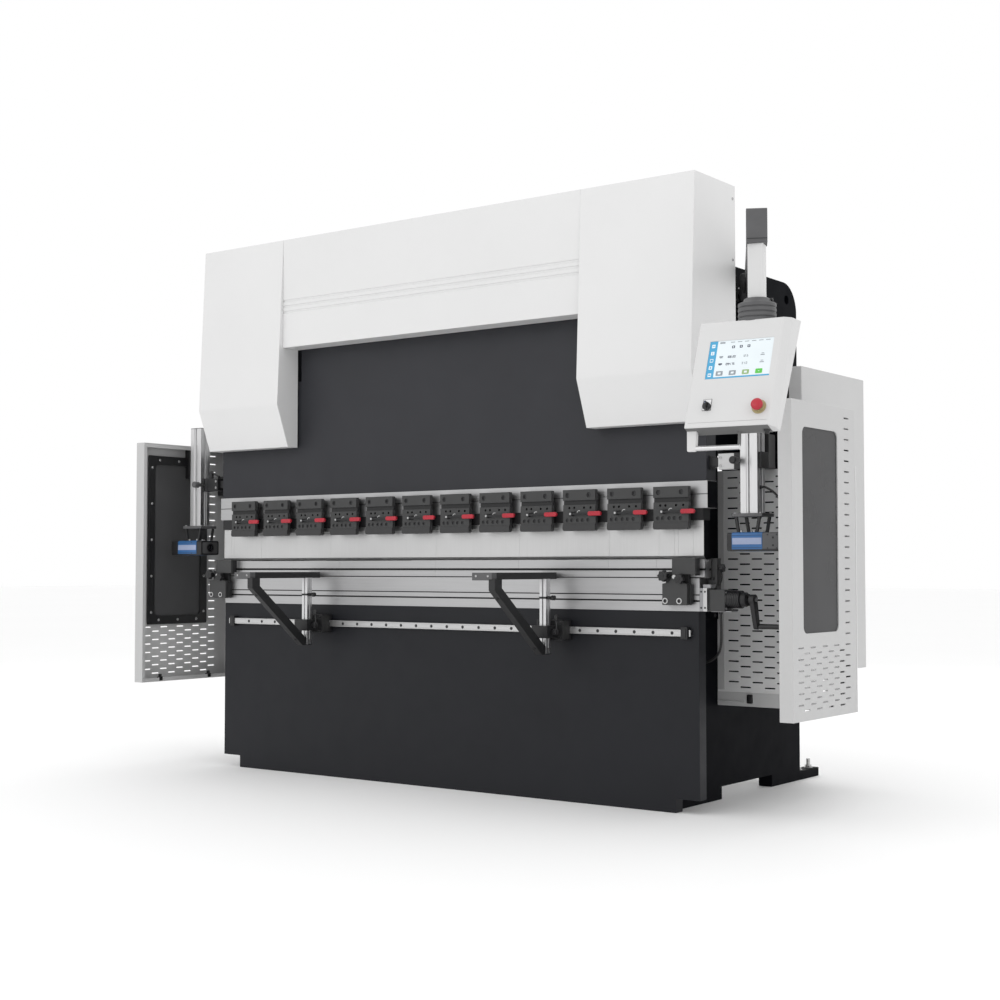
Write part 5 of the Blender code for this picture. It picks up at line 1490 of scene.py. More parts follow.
def panel_frame():
    """World matrix whose X runs across the panel, Y up its face and Z out of it."""
    out = Vector((math.sin(PANEL_YAW), -math.cos(PANEL_YAW), 0.0))
    across = Vector((math.cos(PANEL_YAW), math.sin(PANEL_YAW), 0.0))
    normal = out * math.cos(PANEL_TILT) + Vector((0.0, 0.0, math.sin(PANEL_TILT)))
    upward = normal.cross(across)
    middle = PANEL_FRONT_TOP + PANEL_HEIGHT * math.sin(PANEL_TILT) / 2
    height = PANEL_ROOF - PANEL_HEIGHT * math.cos(PANEL_TILT) / 2
    centre = Vector((DROP_X, DROP_Y, height)) + out * middle + across * PANEL_SHIFT
    return Matrix.Translation(centre) @ Matrix((across, upward, normal)).transposed().to_4x4()


FACE = panel_frame()


def pendant_arm():
    reach = Vector((DROP_X - ARM_X, DROP_Y - ARM_Y))
    length = reach.length
    turn = Matrix.Translation((ARM_X, ARM_Y, 0.0)) @ Matrix.Rotation(math.atan2(reach.y, reach.x), 4, "Z")
    piece = Piece("pendant_arm_body")
    tube = prism(rounded((-0.030, 0.030), (1.958, 2.018), 0.007, 6), "X", 0.040, length - 0.030, 0.0006, 1)
    piece.add(tube, DARK_PLASTIC)
    half = 0.034
    low = TUBE_TOP + GAP
    cap = [(-0.036, low), (0.036, low), (0.036, low + 0.007), (0.0335, low + 0.009), (0.0335, 2.006),
           (0.0325, 2.018), (0.026, 2.047),
           (0.022, 2.050), (-0.022, 2.050), (-0.026, 2.047), (-0.0325, 2.018), (-0.0335, 2.006),
           (-0.0335, low + 0.009), (-0.036, low + 0.007)]
    cap = prism([(length + u, v) for u, v in cap], "Y", -half, half, 0.0028, 3)
    piece.add(cap, DARK_PLASTIC)
    piece.add(block((length - 0.0350, length + 0.0350), (-half + 0.0006, half - 0.0006),
                    (low + 0.0135, low + 0.0148), 0.0004, 1), DARK_AND_RECESS_SHADE)
    piece.add(block((length - 0.046, length - 0.030), (-0.0318, 0.0318), (1.9565, 2.0195), 0.0015),
              DARK_PLASTIC)
    hub = [(0.0286, 1.9303), (0.048, 1.9303), (0.050, 1.933), (0.050, 2.034), (0.046, 2.041),
           (0.0286, 2.041)]
    piece.add(ring_of(hub, (0.0, 0.0)), DARK_PLASTIC)
    piece.add(bar((0.0, 0.0), 0.036, "Z", 2.0405, 2.0409, 36, 0.0001), DARK_PLASTIC)
    for y in (-0.0505, 0.0505):
        piece.add(socket_screw(0.0055, 0.0030), BRIGHT, aim((0.0, y * 0.99, 1.985), (0, y, 0), 0.4))
    piece.done("arm", ("pendant_arm",), turn)


def ring_of(profile, centre, parts=48):
    """Turned sleeve: a closed profile that never reaches the axis."""
    bm = bmesh.new()
    rings = [[bm.verts.new((centre[0] + radius * math.cos(math.tau * i / parts),
                            centre[1] + radius * math.sin(math.tau * i / parts), along))
              for i in range(parts)]
             for radius, along in profile]
    return skin(bm, rings, closed=True)


def drop_tube():
    turn = Matrix.Translation((DROP_X, DROP_Y, 0.0)) @ Matrix.Rotation(DROP_TURN, 4, "Z")
    piece = Piece("drop_tube_body")
    piece.add(prism(rounded((-0.026, 0.026), (-0.026, 0.026), 0.005, 6), "Z", TUBE_LOW - 0.004, TUBE_TOP,
                    0.0004, 1), PANEL_WHITE)
    cone = [(0.0545, 1.738), (0.0545, 1.7405), (0.047, 1.7450), (0.042, 1.7560), (0.038, 1.7580),
            (0.030, 1.7580)]
    piece.add(turned(cone, "Z", (0.0, 0.0), 56), DARK_PLASTIC)
    piece.add(bar((0.0, 1.752), 0.0055, "X", 0.036, 0.052, 20), BLACK_PLASTIC)
    piece.done("arm", ("drop_tube",), turn)


def seven_segments(digit):
    """The bars a digit lights: top, upper left and right, middle, lower left and right, bottom."""
    return {0: "1110111", 1: "0010010", 2: "1011101", 3: "1011011", 4: "0111010", 5: "1101011",
            6: "1101111", 7: "1010010", 8: "1111111", 9: "1111011"}[digit]


def digits(piece, text, u, v, height, mat, lift):
    """A number written with plain bars, from u to the right, standing on v."""
    wide, thick = height * 0.52, height * 0.20
    bars = ((0, height, 1), (0, height / 2, 0), (wide, height / 2, 0), (0, height / 2, 1), (0, 0, 0),
            (wide, 0, 0), (0, 0, 1))
    for letter in text:
        if letter == ".":
            piece.add(block((u, u + thick), (v, v + thick), (lift, lift + 0.0001)), mat, FACE)
            u += thick * 2.2
            continue
        for lit, (du, dv, flat) in zip(seven_segments(int(letter)), bars):
            if lit == "1":
                span_u = (u + du, u + du + wide) if flat else (u + du - thick / 2, u + du + thick / 2)
                span_v = (v + dv - thick / 2, v + dv + thick / 2) if flat else (v + dv, v + dv + height / 2)
                piece.add(block(span_u, span_v, (lift, lift + 0.0001)), mat, FACE)
        u += wide * 1.55


def tile(piece, u, v, size, mat, lift, radius=0.0012):
    """A flat rounded tile on the screen, centred on (u, v)."""
    outline = rounded((u - size[0] / 2, u + size[0] / 2), (v - size[1] / 2, v + size[1] / 2),
                      min(radius, min(size) * 0.4), 3)
    piece.add(prism(outline, "Z", lift, lift + 0.0001), mat, FACE)


def screen(piece):
    """The screen's generic page: side bar with icons, rows of values and a row of keys."""
    (left, right), (low, top) = SCREEN
    depth = -0.0016
    wide, high = right - left, top - low
    piece.add(block((left + 0.0003, right - 0.0003), (low + 0.0003, top - 0.0003), (depth - 0.001, depth)),
              SCREEN_WHITE, FACE)
    lift = depth + 0.0002
    bar_wide = wide * 0.125
    piece.add(block((left + 0.0005, left + bar_wide), (low + 0.0005, top - 0.0005), (depth, lift)),
              SCREEN_BLUE, FACE)
    piece.add(block((left + bar_wide, right - 0.0005), (low + 0.0005, low + 0.0062), (depth, lift)),
              SCREEN_BLUE, FACE)
    icon_u = left + bar_wide / 2
    for i in range(5):
        v = top - high * (0.13 + 0.19 * i)
        tile(piece, icon_u, v, (0.0115, 0.0125), SCREEN_WHITE, lift)
        inner = ((0.0075, 0.0018), (0.0018, 0.0080), (0.0078, 0.0078), (0.0050, 0.0050),
                 (0.0080, 0.0040))[i]
        tile(piece, icon_u, v, inner, SCREEN_BLUE, lift + 0.0002, 0.0006)
    at = [left + wide * share for share in (0.19, 0.30, 0.52, 0.80)]
    tile(piece, left + wide * 0.20, top - 0.0075, (0.018, 0.0055), SCREEN_GREY, lift)
    for share in (0.36, 0.47, 0.58, 0.69, 0.80, 0.91):
        tile(piece, left + wide * share, top - 0.0075, (0.015, 0.0022), SCREEN_GREY, lift, 0.0004)
    for share in (0.38, 0.50, 0.62):
        tile(piece, left + wide * share, top - 0.0250, (0.0095, 0.0095), SCREEN_DARK, lift)
        tile(piece, left + wide * share, top - 0.0250, (0.0030, 0.0055), SCREEN_WHITE, lift + 0.0002,
             0.0004)
    for row, values in ((0.44, ("108.20", "12.5")), (0.63, ("094.75", "31.0"))):
        v = top - high * row
        tile(piece, at[0] + 0.004, v + 0.0022, (0.013, 0.0050), SCREEN_DARK if row > 0.5 else SCREEN_GREY,
             lift)
        tile(piece, at[0] + 0.004, v - 0.0018, (0.008, 0.0022), SCREEN_GREY, lift, 0.0005)
        digits(piece, values[0], at[1], v - 0.0030, 0.0068, SCREEN_DARK, lift)
        digits(piece, values[1], at[2] + 0.006, v - 0.0030, 0.0068, SCREEN_GREY, lift)
        tile(piece, at[3] + 0.012, v, (0.0140, 0.0030), SCREEN_GREY, lift, 0.0006)
        tile(piece, at[3] + 0.012, v + 0.0055, (0.0090, 0.0022), SCREEN_GREY, lift, 0.0006)
    keys = ((0.215, SCREEN_GREY), (0.42, SCREEN_GREY), (0.625, SCREEN_DULL), (0.83, SCREEN_GREEN))
    for share, mat in keys:
        u, v = left + wide * share, low + 0.0190
        tile(piece, u, v, (0.0235, 0.0165), mat, lift, 0.0022)
        tile(piece, u, v, (0.0100, 0.0070), SCREEN_WHITE if mat is not SCREEN_GREEN else SCREEN_GREEN,
             lift + 0.0002, 0.0010)
        tile(piece, u, v, (0.0050, 0.0016), SCREEN_WHITE, lift + 0.0004, 0.0004)


def control_panel():
    yaw = Matrix.Translation((DROP_X, DROP_Y, 0.0)) @ Matrix.Rotation(PANEL_YAW, 4, "Z")
    floor = PANEL_ROOF - PANEL_HEIGHT * math.cos(PANEL_TILT)
    lean = PANEL_HEIGHT * math.sin(PANEL_TILT)
    half, front = PANEL_WIDTH / 2, -PANEL_FRONT_TOP
    side = [(front, PANEL_ROOF), (front - lean, floor),
            (front - lean + PANEL_DEPTH_LOW, floor - PANEL_DROP), (front + PANEL_DEPTH_TOP, PANEL_ROOF)]
    shell = prism(side, "X", PANEL_SHIFT - half, PANEL_SHIFT + half)
    corner = prism([(half - PANEL_BEVEL, -0.010), (half + 0.010, -0.010),
                    (half + 0.010, PANEL_BEVEL * 1.5)], "Z", -0.300, 0.300)
    rows = Matrix(((1, 0, 0), (0, math.cos(PANEL_TILT), math.sin(PANEL_TILT)),
                   (0, -math.sin(PANEL_TILT), math.cos(PANEL_TILT)))).to_4x4()
    corner.transform(Matrix.Translation((PANEL_SHIFT, front - lean / 2, (PANEL_ROOF + floor) / 2)) @ rows)
    shell = soften(carved(shell, [corner]), 0.0045, 4)
    shell.transform(yaw)
    (left, right), (low, top) = SCREEN
    cutters = [block((left, right), (low, top), (-0.0018, 0.01)),
               block((-0.1415, 0.1250), (-0.1728, -0.1716), (-0.0016, 0.01)),
               bar(STOP_PLACE, 0.0105, "Z", -0.020, 0.010, 24, 0.0)]
    for cutter in cutters:
        cutter.transform(FACE)
    piece = Piece("control_panel_body")
    piece.add(carved(shell, cutters), PANEL_WHITE)
    screen(piece)
    plate_u, plate_v = SWITCH_PLACE
    plate = rounded((plate_u - 0.0150, plate_u + 0.0150), (plate_v - 0.0150, plate_v + 0.0260), 0.0015, 3)
    piece.add(prism(plate, "Z", -0.0002, 0.0009, 0.0003, 1), BLACK_PLASTIC, FACE)
    plate = rounded((plate_u - 0.0135, plate_u + 0.0135), (plate_v - 0.0135, plate_v + 0.0245), 0.0012, 3)
    piece.add(prism(plate, "Z", 0.0008, 0.0012), ANODISED, FACE)
    for angle in (50, 90, 130):
        a = math.radians(angle)
        tick = (plate_u + 0.0185 * math.cos(a), plate_v + 0.0185 * math.sin(a))
        piece.add(bar(tick, 0.0008, "Z", 0.0011, 0.0014, 12, 0.0), BLACK_PLASTIC, FACE)
    # The collar's dull yellow is painted shade.
    piece.add(ring(STOP_PLACE, 0.0240, 0.0100, "Z", -0.0002, 0.0022, 56), SHADED_YELLOW, FACE)
    piece.add(ring(STOP_PLACE, 0.0175, 0.0100, "Z", 0.0020, 0.0090, 48), SHADED_YELLOW, FACE)
    ribs = [(0.055, 1.660)]
    z = 1.661
    while z < 1.728:
        ribs += [(0.0585, z), (0.0615, z + 0.0025), (0.0620, z + 0.0085), (0.0615, z + 0.0130),
                 (0.0585, z + 0.0150)]
        z += 0.0165
    ribs += [(0.0590, 1.7365), (0.0560, 1.7377)]
    piece.add(turned(ribs, "Z", (0.0, 0.0), 64), DARK_PLASTIC, yaw)
    grip_y = front - lean + 0.030
    grip_left = PANEL_SHIFT - half + 0.001
    grip_right = grip_left + 0.190
    bottom = floor - 0.074
    leg = [(grip_left, floor + 0.004), (grip_left, bottom + 0.003), (grip_left + 0.003, bottom),
           (grip_left + 0.026, bottom),
           (grip_left + 0.030, bottom + 0.004), (grip_left + 0.034, floor + 0.004)]
    piece.add(prism(leg, "Y", grip_y - 0.009, grip_y + 0.009, 0.0028, 3), PANEL_WHITE, yaw)
    # The handle's right leg is dark grey: painted shade.
    turn_in = [(grip_right - 0.024, grip_y + 0.001, bottom + 0.0095),
               (grip_right - 0.018, grip_y + 0.003, bottom + 0.012),
               (grip_right - 0.016, grip_y + 0.006, bottom + 0.024),
               (grip_right - 0.016, grip_y + 0.008, floor - 0.004)]
    piece.add(pipe(turn_in, 0.0055, 20, 20), UNDERSIDE_SHADE_GREY, yaw)
    piece.add(bar((grip_y, bottom + 0.0095), 0.0085, "X", grip_left + 0.020, grip_right - 0.012, 32),
              ANODISED, yaw)
    # Dark grey plate under the panel: a cover plate, darkened as painted shade of the underside.
    under = [(front - lean + 0.003, floor - 0.0012), (front - lean + 0.004, floor - 0.0026),
             (front - lean + PANEL_DEPTH_LOW - 0.001, floor - PANEL_DROP - 0.0010),
             (front - lean + PANEL_DEPTH_LOW - 0.004, floor - PANEL_DROP + 0.004)]
    piece.add(prism(under, "X", PANEL_SHIFT - half + 0.003, PANEL_SHIFT + half - 0.024), UNDERSIDE_SHADE_GREY, yaw)
    back = [(front - lean + PANEL_DEPTH_LOW, floor - PANEL_DROP), (front + PANEL_DEPTH_TOP, PANEL_ROOF)]
    slope = Vector((0.0, back[1][0] - back[0][0], back[1][1] - back[0][1])).normalized()
    outward = Vector((0.0, slope.z, -slope.y))
    middle = Vector((PANEL_SHIFT, (back[0][0] + back[1][0]) / 2, (back[0][1] + back[1][1]) / 2))
    axes = Matrix((Vector((-1, 0, 0)), slope, outward)).transposed().to_4x4()
    rear = yaw @ Matrix.Translation(middle) @ axes
    cover = rounded((-half + 0.020, half - 0.020), (-0.160, 0.150), 0.006, 4)
    piece.add(prism(cover, "Z", -0.002, 0.0018, 0.0008), PANEL_WHITE, rear)
    for u in (-half + 0.030, half - 0.030):
        for v in (-0.150, -0.005, 0.140):
            piece.add(pan_screw(0.0038, 0.0022), BRIGHT, rear @ Matrix.Translation((u, v, 0.0016)))
    for i in range(9):
        v = -0.010 + i * 0.013
        louvre = rounded((-0.045, 0.045), (v - 0.0022, v + 0.0022), 0.002, 3)
        piece.add(prism(louvre, "Z", 0.0010, 0.0026, 0.0006, 1), BLACK_PLASTIC, rear)
    gland = [(0.011, -0.001), (0.011, 0.006), (0.008, 0.009), (0.008, 0.014), (0.0045, 0.016)]
    spot = (PANEL_SHIFT + 0.115, front - lean + PANEL_DEPTH_LOW - 0.016, floor - PANEL_DROP * 0.7 + 0.003)
    piece.add(turned(gland, sides=28), BLACK_PLASTIC,
              yaw @ Matrix.Translation(spot) @ Matrix.Rotation(math.pi, 4, "X"))
    piece.done("panel", ("control_panel",))


def panel_controls():
    piece = Piece("stop_button_body")
    piece.add(bar((0.0, 0.0), 0.0096, "Z", -0.008, 0.016, 32), RED_PLASTIC)
    head = [(0.0150, 0.0140), (0.0188, 0.0155), (0.0192, 0.0200), (0.0186, 0.0245), (0.0160, 0.0280),
            (0.0110, 0.0296), (0.0050, 0.0300), (0.0008, 0.0300)]
    piece.add(turned(head, sides=56), RED_PLASTIC)
    piece.done("stop_button", ("stop_button",), FACE @ Matrix.Translation((*STOP_PLACE, 0.0)))
    piece = Piece("mode_switch_body")
    skirt = [(0.0132, GAP + 0.001), (0.0135, 0.0025), (0.0132, 0.0075), (0.0115, 0.0100), (0.0008, 0.0100)]
    piece.add(turned(skirt, sides=44), BLACK_PLASTIC)
    piece.add(prism(rounded((-0.0042, 0.0042), (-0.0128, 0.0128), 0.0035, 5), "Z", 0.0080, 0.0200, 0.0012,
                    3), BLACK_PLASTIC)
    piece.add(block((-0.0005, 0.0005), (0.0030, 0.0115), (0.0196, 0.0202)), PALE_LABEL)
    piece.done("mode_switch", ("mode_switch",),
               FACE @ Matrix.Translation((*SWITCH_PLACE, 0.0)))


pendant_arm()
drop_tube()
control_panel()
panel_controls()

# ---------------------------------------------------------------- behind the machine
def rear_tie_beam():
    (left, right), (front, back), (low, top) = spans("rear_tie_beam")
    web = 0.015
    outline = [(front, low), (front + 0.080, low), (front + 0.080, low + web), (front + web, low + web),
               (front + web, top - web), (front + 0.080, top - web), (front + 0.080, top), (front, top)]
    piece = Piece("rear_channel")
    piece.add(prism(outline, "X", left, right, 0.0025, 3), BASE_BLACK)
    for x in (left + 0.006, right - 0.006):
        inward = 0.006 if x < 0 else -0.006
        piece.add(block(sorted((x - inward, x + inward)), (front + web - 0.002, back - 0.002),
                        (low + web - 0.002, top - web + 0.002), 0.0012), BASE_BLACK)
        for z in (low + 0.060, (low + top) / 2, top - 0.060):
            piece.add(hex_head(0.011, 0.009), BLACK_OXIDE,
                      aim((x + inward, front + 0.050, z), (inward, 0, 0), z * 7))
    for x in (-0.60, 0.0, 0.60):
        piece.add(block((x - 0.005, x + 0.005), (front + web - 0.002, back - 0.006),
                        (low + web - 0.002, top - web + 0.002), 0.0015), BASE_BLACK)
    piece.done("machine", ("rear_tie_beam",))


def hydraulic_tank(piece):
    """Welded tank with its lid, gauge, drain and the rail that carries it."""
    x, y, z = (-0.620, 0.620), (0.220, 0.620), (1.700, 2.000)
    piece.add(block((x[0] + 0.004, x[1] - 0.004), (y[0] + 0.004, y[1] - 0.004), (z[0], z[1] - 0.010), 0.006,
                    3), RAM_SLATE)
    piece.add(block(x, y, (z[1] - 0.010, z[1]), 0.002), RAM_SLATE)
    reach = FRAME_IN - GAP
    piece.add(block((-reach, reach), (0.380, 0.460), (1.740, 1.820), 0.003), BASE_BLACK)
    for side in (-1, 1):
        piece.add(block(sorted((side * (reach - 0.012), side * reach)), (0.352, 0.488), (1.712, 1.848),
                        0.002), BASE_BLACK)
        for v in (0.365, 0.475):
            for w in (1.728, 1.832):
                piece.add(hex_head(0.009, 0.007), BRIGHT,
                          aim((side * (reach - 0.011), v, w), (-side, 0, 0), v * 9 + w))
    lid = [(u, y[0] + 0.014, z[1] - 0.0005) for u in (-0.60, -0.36, -0.12, 0.12, 0.36, 0.60)]
    lid += [(u, y[1] - 0.014, z[1] - 0.0005) for u in (-0.60, -0.36, -0.12, 0.12, 0.36, 0.60)]
    screws(piece, BRIGHT, (socket_screw, 0.0065, 0.006), lid, (0, 0, 1))
    gauge = rounded((0.470, 0.500), (1.770, 1.930), 0.012, 5)
    piece.add(prism(gauge, "Y", y[1] - 0.006, y[1] + 0.004, 0.0015), BLACK_PLASTIC)
    piece.add(prism(rounded((0.478, 0.492), (1.790, 1.910), 0.006, 4), "Y", y[1] + 0.003, y[1] + 0.0055,
                    0.0008), GLASS_DARK)
    for w in (1.779, 1.921):
        piece.add(hex_head(0.007, 0.006), BRASS, aim((0.485, y[1] + 0.003, w), (0, 1, 0), w * 5))
    piece.add(hex_head(0.016, 0.014), BRIGHT, aim((-0.520, y[1] - 0.006, 1.735), (0, 1, 0), 0.4))
    rib = [(y[1] - 0.006, 1.720), (y[1] + 0.002, 1.726), (y[1] + 0.002, 1.974), (y[1] - 0.006, 1.980)]
    for u in (-0.30, 0.0, 0.30):
        piece.add(prism(rib, "X", u - 0.012, u + 0.012, 0.0015), RAM_SLATE)
    filler = [(0.030, 1.998), (0.030, 2.008), (0.040, 2.010), (0.040, 2.030), (0.036, 2.035),
              (0.001, 2.035)]
    cap_x, cap_y, cap_reach, ribs = -0.480, 0.420, 0.0395, 12
    piece.add(turned(filler, "Z", (cap_x, cap_y), 40), BLACK_PLASTIC)
    for i in range(ribs):
        a = math.tau * i / ribs
        rib_at = (cap_x + cap_reach * math.cos(a), cap_y + cap_reach * math.sin(a))
        piece.add(bar(rib_at, 0.0022, "Z", 2.0115, 2.029, 10), BLACK_PLASTIC)


def pump_motor(piece):
    """Finned motor with its fan cover and terminal box, and the pump on its flange."""
    centre = (0.420, 2.120)
    body = [(0.080, -0.215), (0.086, -0.205), (0.086, 0.055), (0.096, 0.060), (0.096, 0.078),
            (0.060, 0.080)]
    piece.add(turned(body, "X", centre, 56), DARK_PLASTIC)
    for i in range(28):
        angle = math.tau * (i + 0.5) / 28
        fin = block((-0.200, 0.050), (-0.0016, 0.0016), (0.084, 0.0985), 0.0006, 1)
        fin.transform(Matrix.Translation((0.0, *centre)) @ Matrix.Rotation(angle, 4, "X"))
        piece.add(fin, DARK_PLASTIC)
    cover = [(0.040, -0.2595), (0.078, -0.2600), (0.094, -0.250), (0.0985, -0.236), (0.0985, -0.188),
             (0.094, -0.188)]
    piece.add(turned(cover, "X", centre, 56), RAM_SLATE)
    for k in range(4):
        piece.add(ring(centre, 0.038 + k * 0.012, 0.033 + k * 0.012, "X", -0.2612, -0.2590, 48),
                  BLACK_PLASTIC)
    piece.add(block((-0.120, -0.010), (0.365, 0.475), (2.205, 2.250), 0.004, 3), RAM_SLATE)
    heads = [(u, v, 2.2495) for u in (-0.110, -0.020) for v in (0.375, 0.465)]
    screws(piece, BRIGHT, (pan_screw, 0.0045, 0.0025), heads, (0, 0, 1))
    piece.add(turned([(0.0085, -0.123), (0.0085, -0.134), (0.0060, -0.136)], "X", (0.420, 2.226), 24),
              BLACK_PLASTIC)
    for u in (-0.190, 0.020):
        piece.add(block((u - 0.025, u + 0.025), (0.342, 0.498), (1.999, 2.050), 0.004), RAM_SLATE)
        for v in (0.352, 0.488):
            piece.add(hex_head(0.008, 0.007), BRIGHT, aim((u, v, 2.0495), (0, 0, 1), u * 9 + v))
    pump = [(0.058, 0.078), (0.060, 0.092), (0.052, 0.096), (0.052, 0.150), (0.058, 0.154), (0.058, 0.176),
            (0.048, 0.182), (0.048, 0.225), (0.040, 0.238), (0.001, 0.240)]
    piece.add(turned(pump, "X", centre, 48), BLACK_OXIDE)
    heads = [(0.153, centre[0] + 0.045 * math.cos(a), centre[1] + 0.045 * math.sin(a))
             for a in (0.8, 2.4, 3.9, 5.5)]
    screws(piece, BRIGHT, (socket_screw, 0.005, 0.005), heads, (1, 0, 0))


def valve_block(piece):
    """Steel manifold with its valves, solenoids, pressure pipes and sockets."""
    x, y, z = (0.300, 0.500), (0.330, 0.510), (1.995, 2.090)
    piece.add(block(x, y, (1.999, z[1]), 0.002), BLUE_STEEL)
    heads = [(u, v, z[1] - 0.0005) for u in (0.312, 0.488) for v in (0.342, 0.498)]
    screws(piece, BLACK_OXIDE, (socket_screw, 0.0060, 0.0060), heads, (0, 0, 1))
    for u in (0.350, 0.400, 0.450):
        piece.add(block((u - 0.018, u + 0.018), (0.372, 0.468), (z[1] - 0.001, z[1] + 0.030), 0.0018),
                  BLACK_OXIDE)
        for end, edge, root in ((0.335, 0.338, 0.373), (0.505, 0.502, 0.467)):
            solenoid = [(0.017, end), (0.0185, edge), (0.0185, root)]
            piece.add(turned(solenoid, "Y", (u, z[1] + 0.016), 32), BLACK_PLASTIC)
        piece.add(block((u - 0.013, u + 0.013), (0.343, 0.366), (z[1] + 0.030, z[1] + 0.050), 0.003, 2),
                  DARK_PLASTIC)
        plugs = [(u, 0.3302, 2.018), (u, 0.3302, 2.050)]
        screws(piece, BRASS, (socket_screw, 0.0070, 0.0040), plugs, (0, -1, 0))
    routes = ([(0.330, 0.345, 2.088), (0.330, 0.310, 2.110), (0.330, 0.275, 2.118), (0.20, 0.262, 2.120),
               (-0.50, 0.262, 2.140),
               (-0.90, 0.255, 2.170), (-0.985, 0.215, 2.175), (-1.000, 0.112, 2.175)],
              [(0.470, 0.345, 2.088), (0.480, 0.310, 2.112), (0.530, 0.275, 2.130), (0.70, 0.262, 2.150),
               (0.90, 0.255, 2.170), (0.985, 0.215, 2.175), (1.000, 0.112, 2.175)])
    for route in routes:
        piece.add(pipe(route, 0.0075, 60, 16), BRIGHT)
        for end, ahead in ((route[0], (0, 0.6, -0.4)), (route[-1], (0, 1, 0))):
            piece.add(hex_head(0.0125, 0.016), BRIGHT,
                      aim(Vector(end) - Vector(ahead) * (0.006 if ahead[1] < 1 else 0.0), ahead, 0.2))
    piece.add(pipe([(0.160, 0.420, 2.062), (0.200, 0.420, 2.035), (0.250, 0.420, 2.030),
                    (0.304, 0.420, 2.030)], 0.009, 24, 16), BRIGHT)
    piece.add(hex_head(0.015, 0.014), BRIGHT, aim((0.3005, 0.420, 2.030), (-1, 0, 0), 0.1))


def hydraulic_unit():
    piece = Piece("hydraulic_power_unit")
    hydraulic_tank(piece)
    pump_motor(piece)
    valve_block(piece)
    piece.done("machine", ("hydraulic_unit",))


def gauge_finger(piece, x, y):
    """One stop finger with its clamp, scale plate and hardened nose."""
    body = [(x - 0.030, y - 0.160), (x - 0.022, y - 0.200), (x + 0.022, y - 0.200), (x + 0.030, y - 0.160),
            (x + 0.030, y + 0.060), (x - 0.030, y + 0.060)]
    piece.add(prism(body, "Z", 0.8705, 0.900, 0.0022, 3), ANODISED)
    piece.add(block((x - 0.022, x + 0.022), (y - 0.205, y - 0.180), (0.894, 0.935), 0.0016), GROUND_PALE)
    nose = [(y - 0.182, 0.897), (y - 0.150, 0.897), (y - 0.182, 0.922)]
    piece.add(prism(nose, "X", x - 0.012, x + 0.012, 0.001), BLUE_STEEL)
    heads = [(x + u, y + v, 0.8995) for v in (-0.166, 0.040) for u in (-0.018, 0.018)]
    screws(piece, BLACK_OXIDE, (socket_screw, 0.0048, 0.0045), heads, (0, 0, 1))
    piece.add(block((x - 0.034, x + 0.034), (y - 0.012, y + 0.0005), (0.800, 0.872), 0.002), BLACK_COAT)
    knob_z, dips = 0.836, [0.84, 1.0] * 6
    star = [(x + (u - x) * dip, knob_z + (v - knob_z) * dip)
            for (u, v), dip in zip(arc((x, knob_z), 0.017, 0, 330, 11), dips)]
    piece.add(prism(star, "Y", y - 0.034, y - 0.018, 0.003, 3), BLACK_PLASTIC)
    piece.add(bar((x, knob_z), 0.006, "Y", y - 0.022, y - 0.008, 20), BRIGHT)


def back_gauge():
    y = spans("back_gauge")[1][1] - 0.140
    piece = Piece("back_gauge_beam")
    section = [(y + v + 0.040, 0.830 + u) for u, v in slotted_section(0.040, 0.040, 0.0045, 0.010)]
    piece.add(prism(section, "X", -0.988, 0.988, 0.0004, 1), ANODISED)
    piece.add(block((-0.940, 0.940), (y - 0.0005, y + 0.004), (0.8435, 0.8605), 0.001), GROUND_PALE)
    for side in (-1, 1):
        piece.add(block(sides(0.984, 0.9905)[side], (y + 0.001, y + 0.079), (0.791, 0.869), 0.0015),
                  DARK_PLASTIC)
        piece.add(block(sides(0.955, 1.003)[side], (y - 0.060, y + 0.140), (0.7155, 0.752), 0.003, 3),
                  BLACK_COAT)
        piece.add(block(sides(0.957, 1.001)[side], (y - 0.030, y + 0.110), (0.750, 0.7915), 0.003, 3),
                  BLUE_STEEL)
        heads = [(side * 0.979, y + v, 0.7515) for v in (-0.050, -0.038, 0.118, 0.130)]
        screws(piece, BRIGHT, (socket_screw, 0.0042, 0.0040), heads, (0, 0, 1))
        for v in (-0.061, 0.141):
            piece.add(block(sides(0.962, 0.996)[side], (y + v - 0.0015, y + v + 0.0015), (0.718, 0.748),
                            0.001), RED_PLASTIC)
        gauge_finger(piece, side * 0.450, y)
    piece.done("back_gauge", ("back_gauge",))


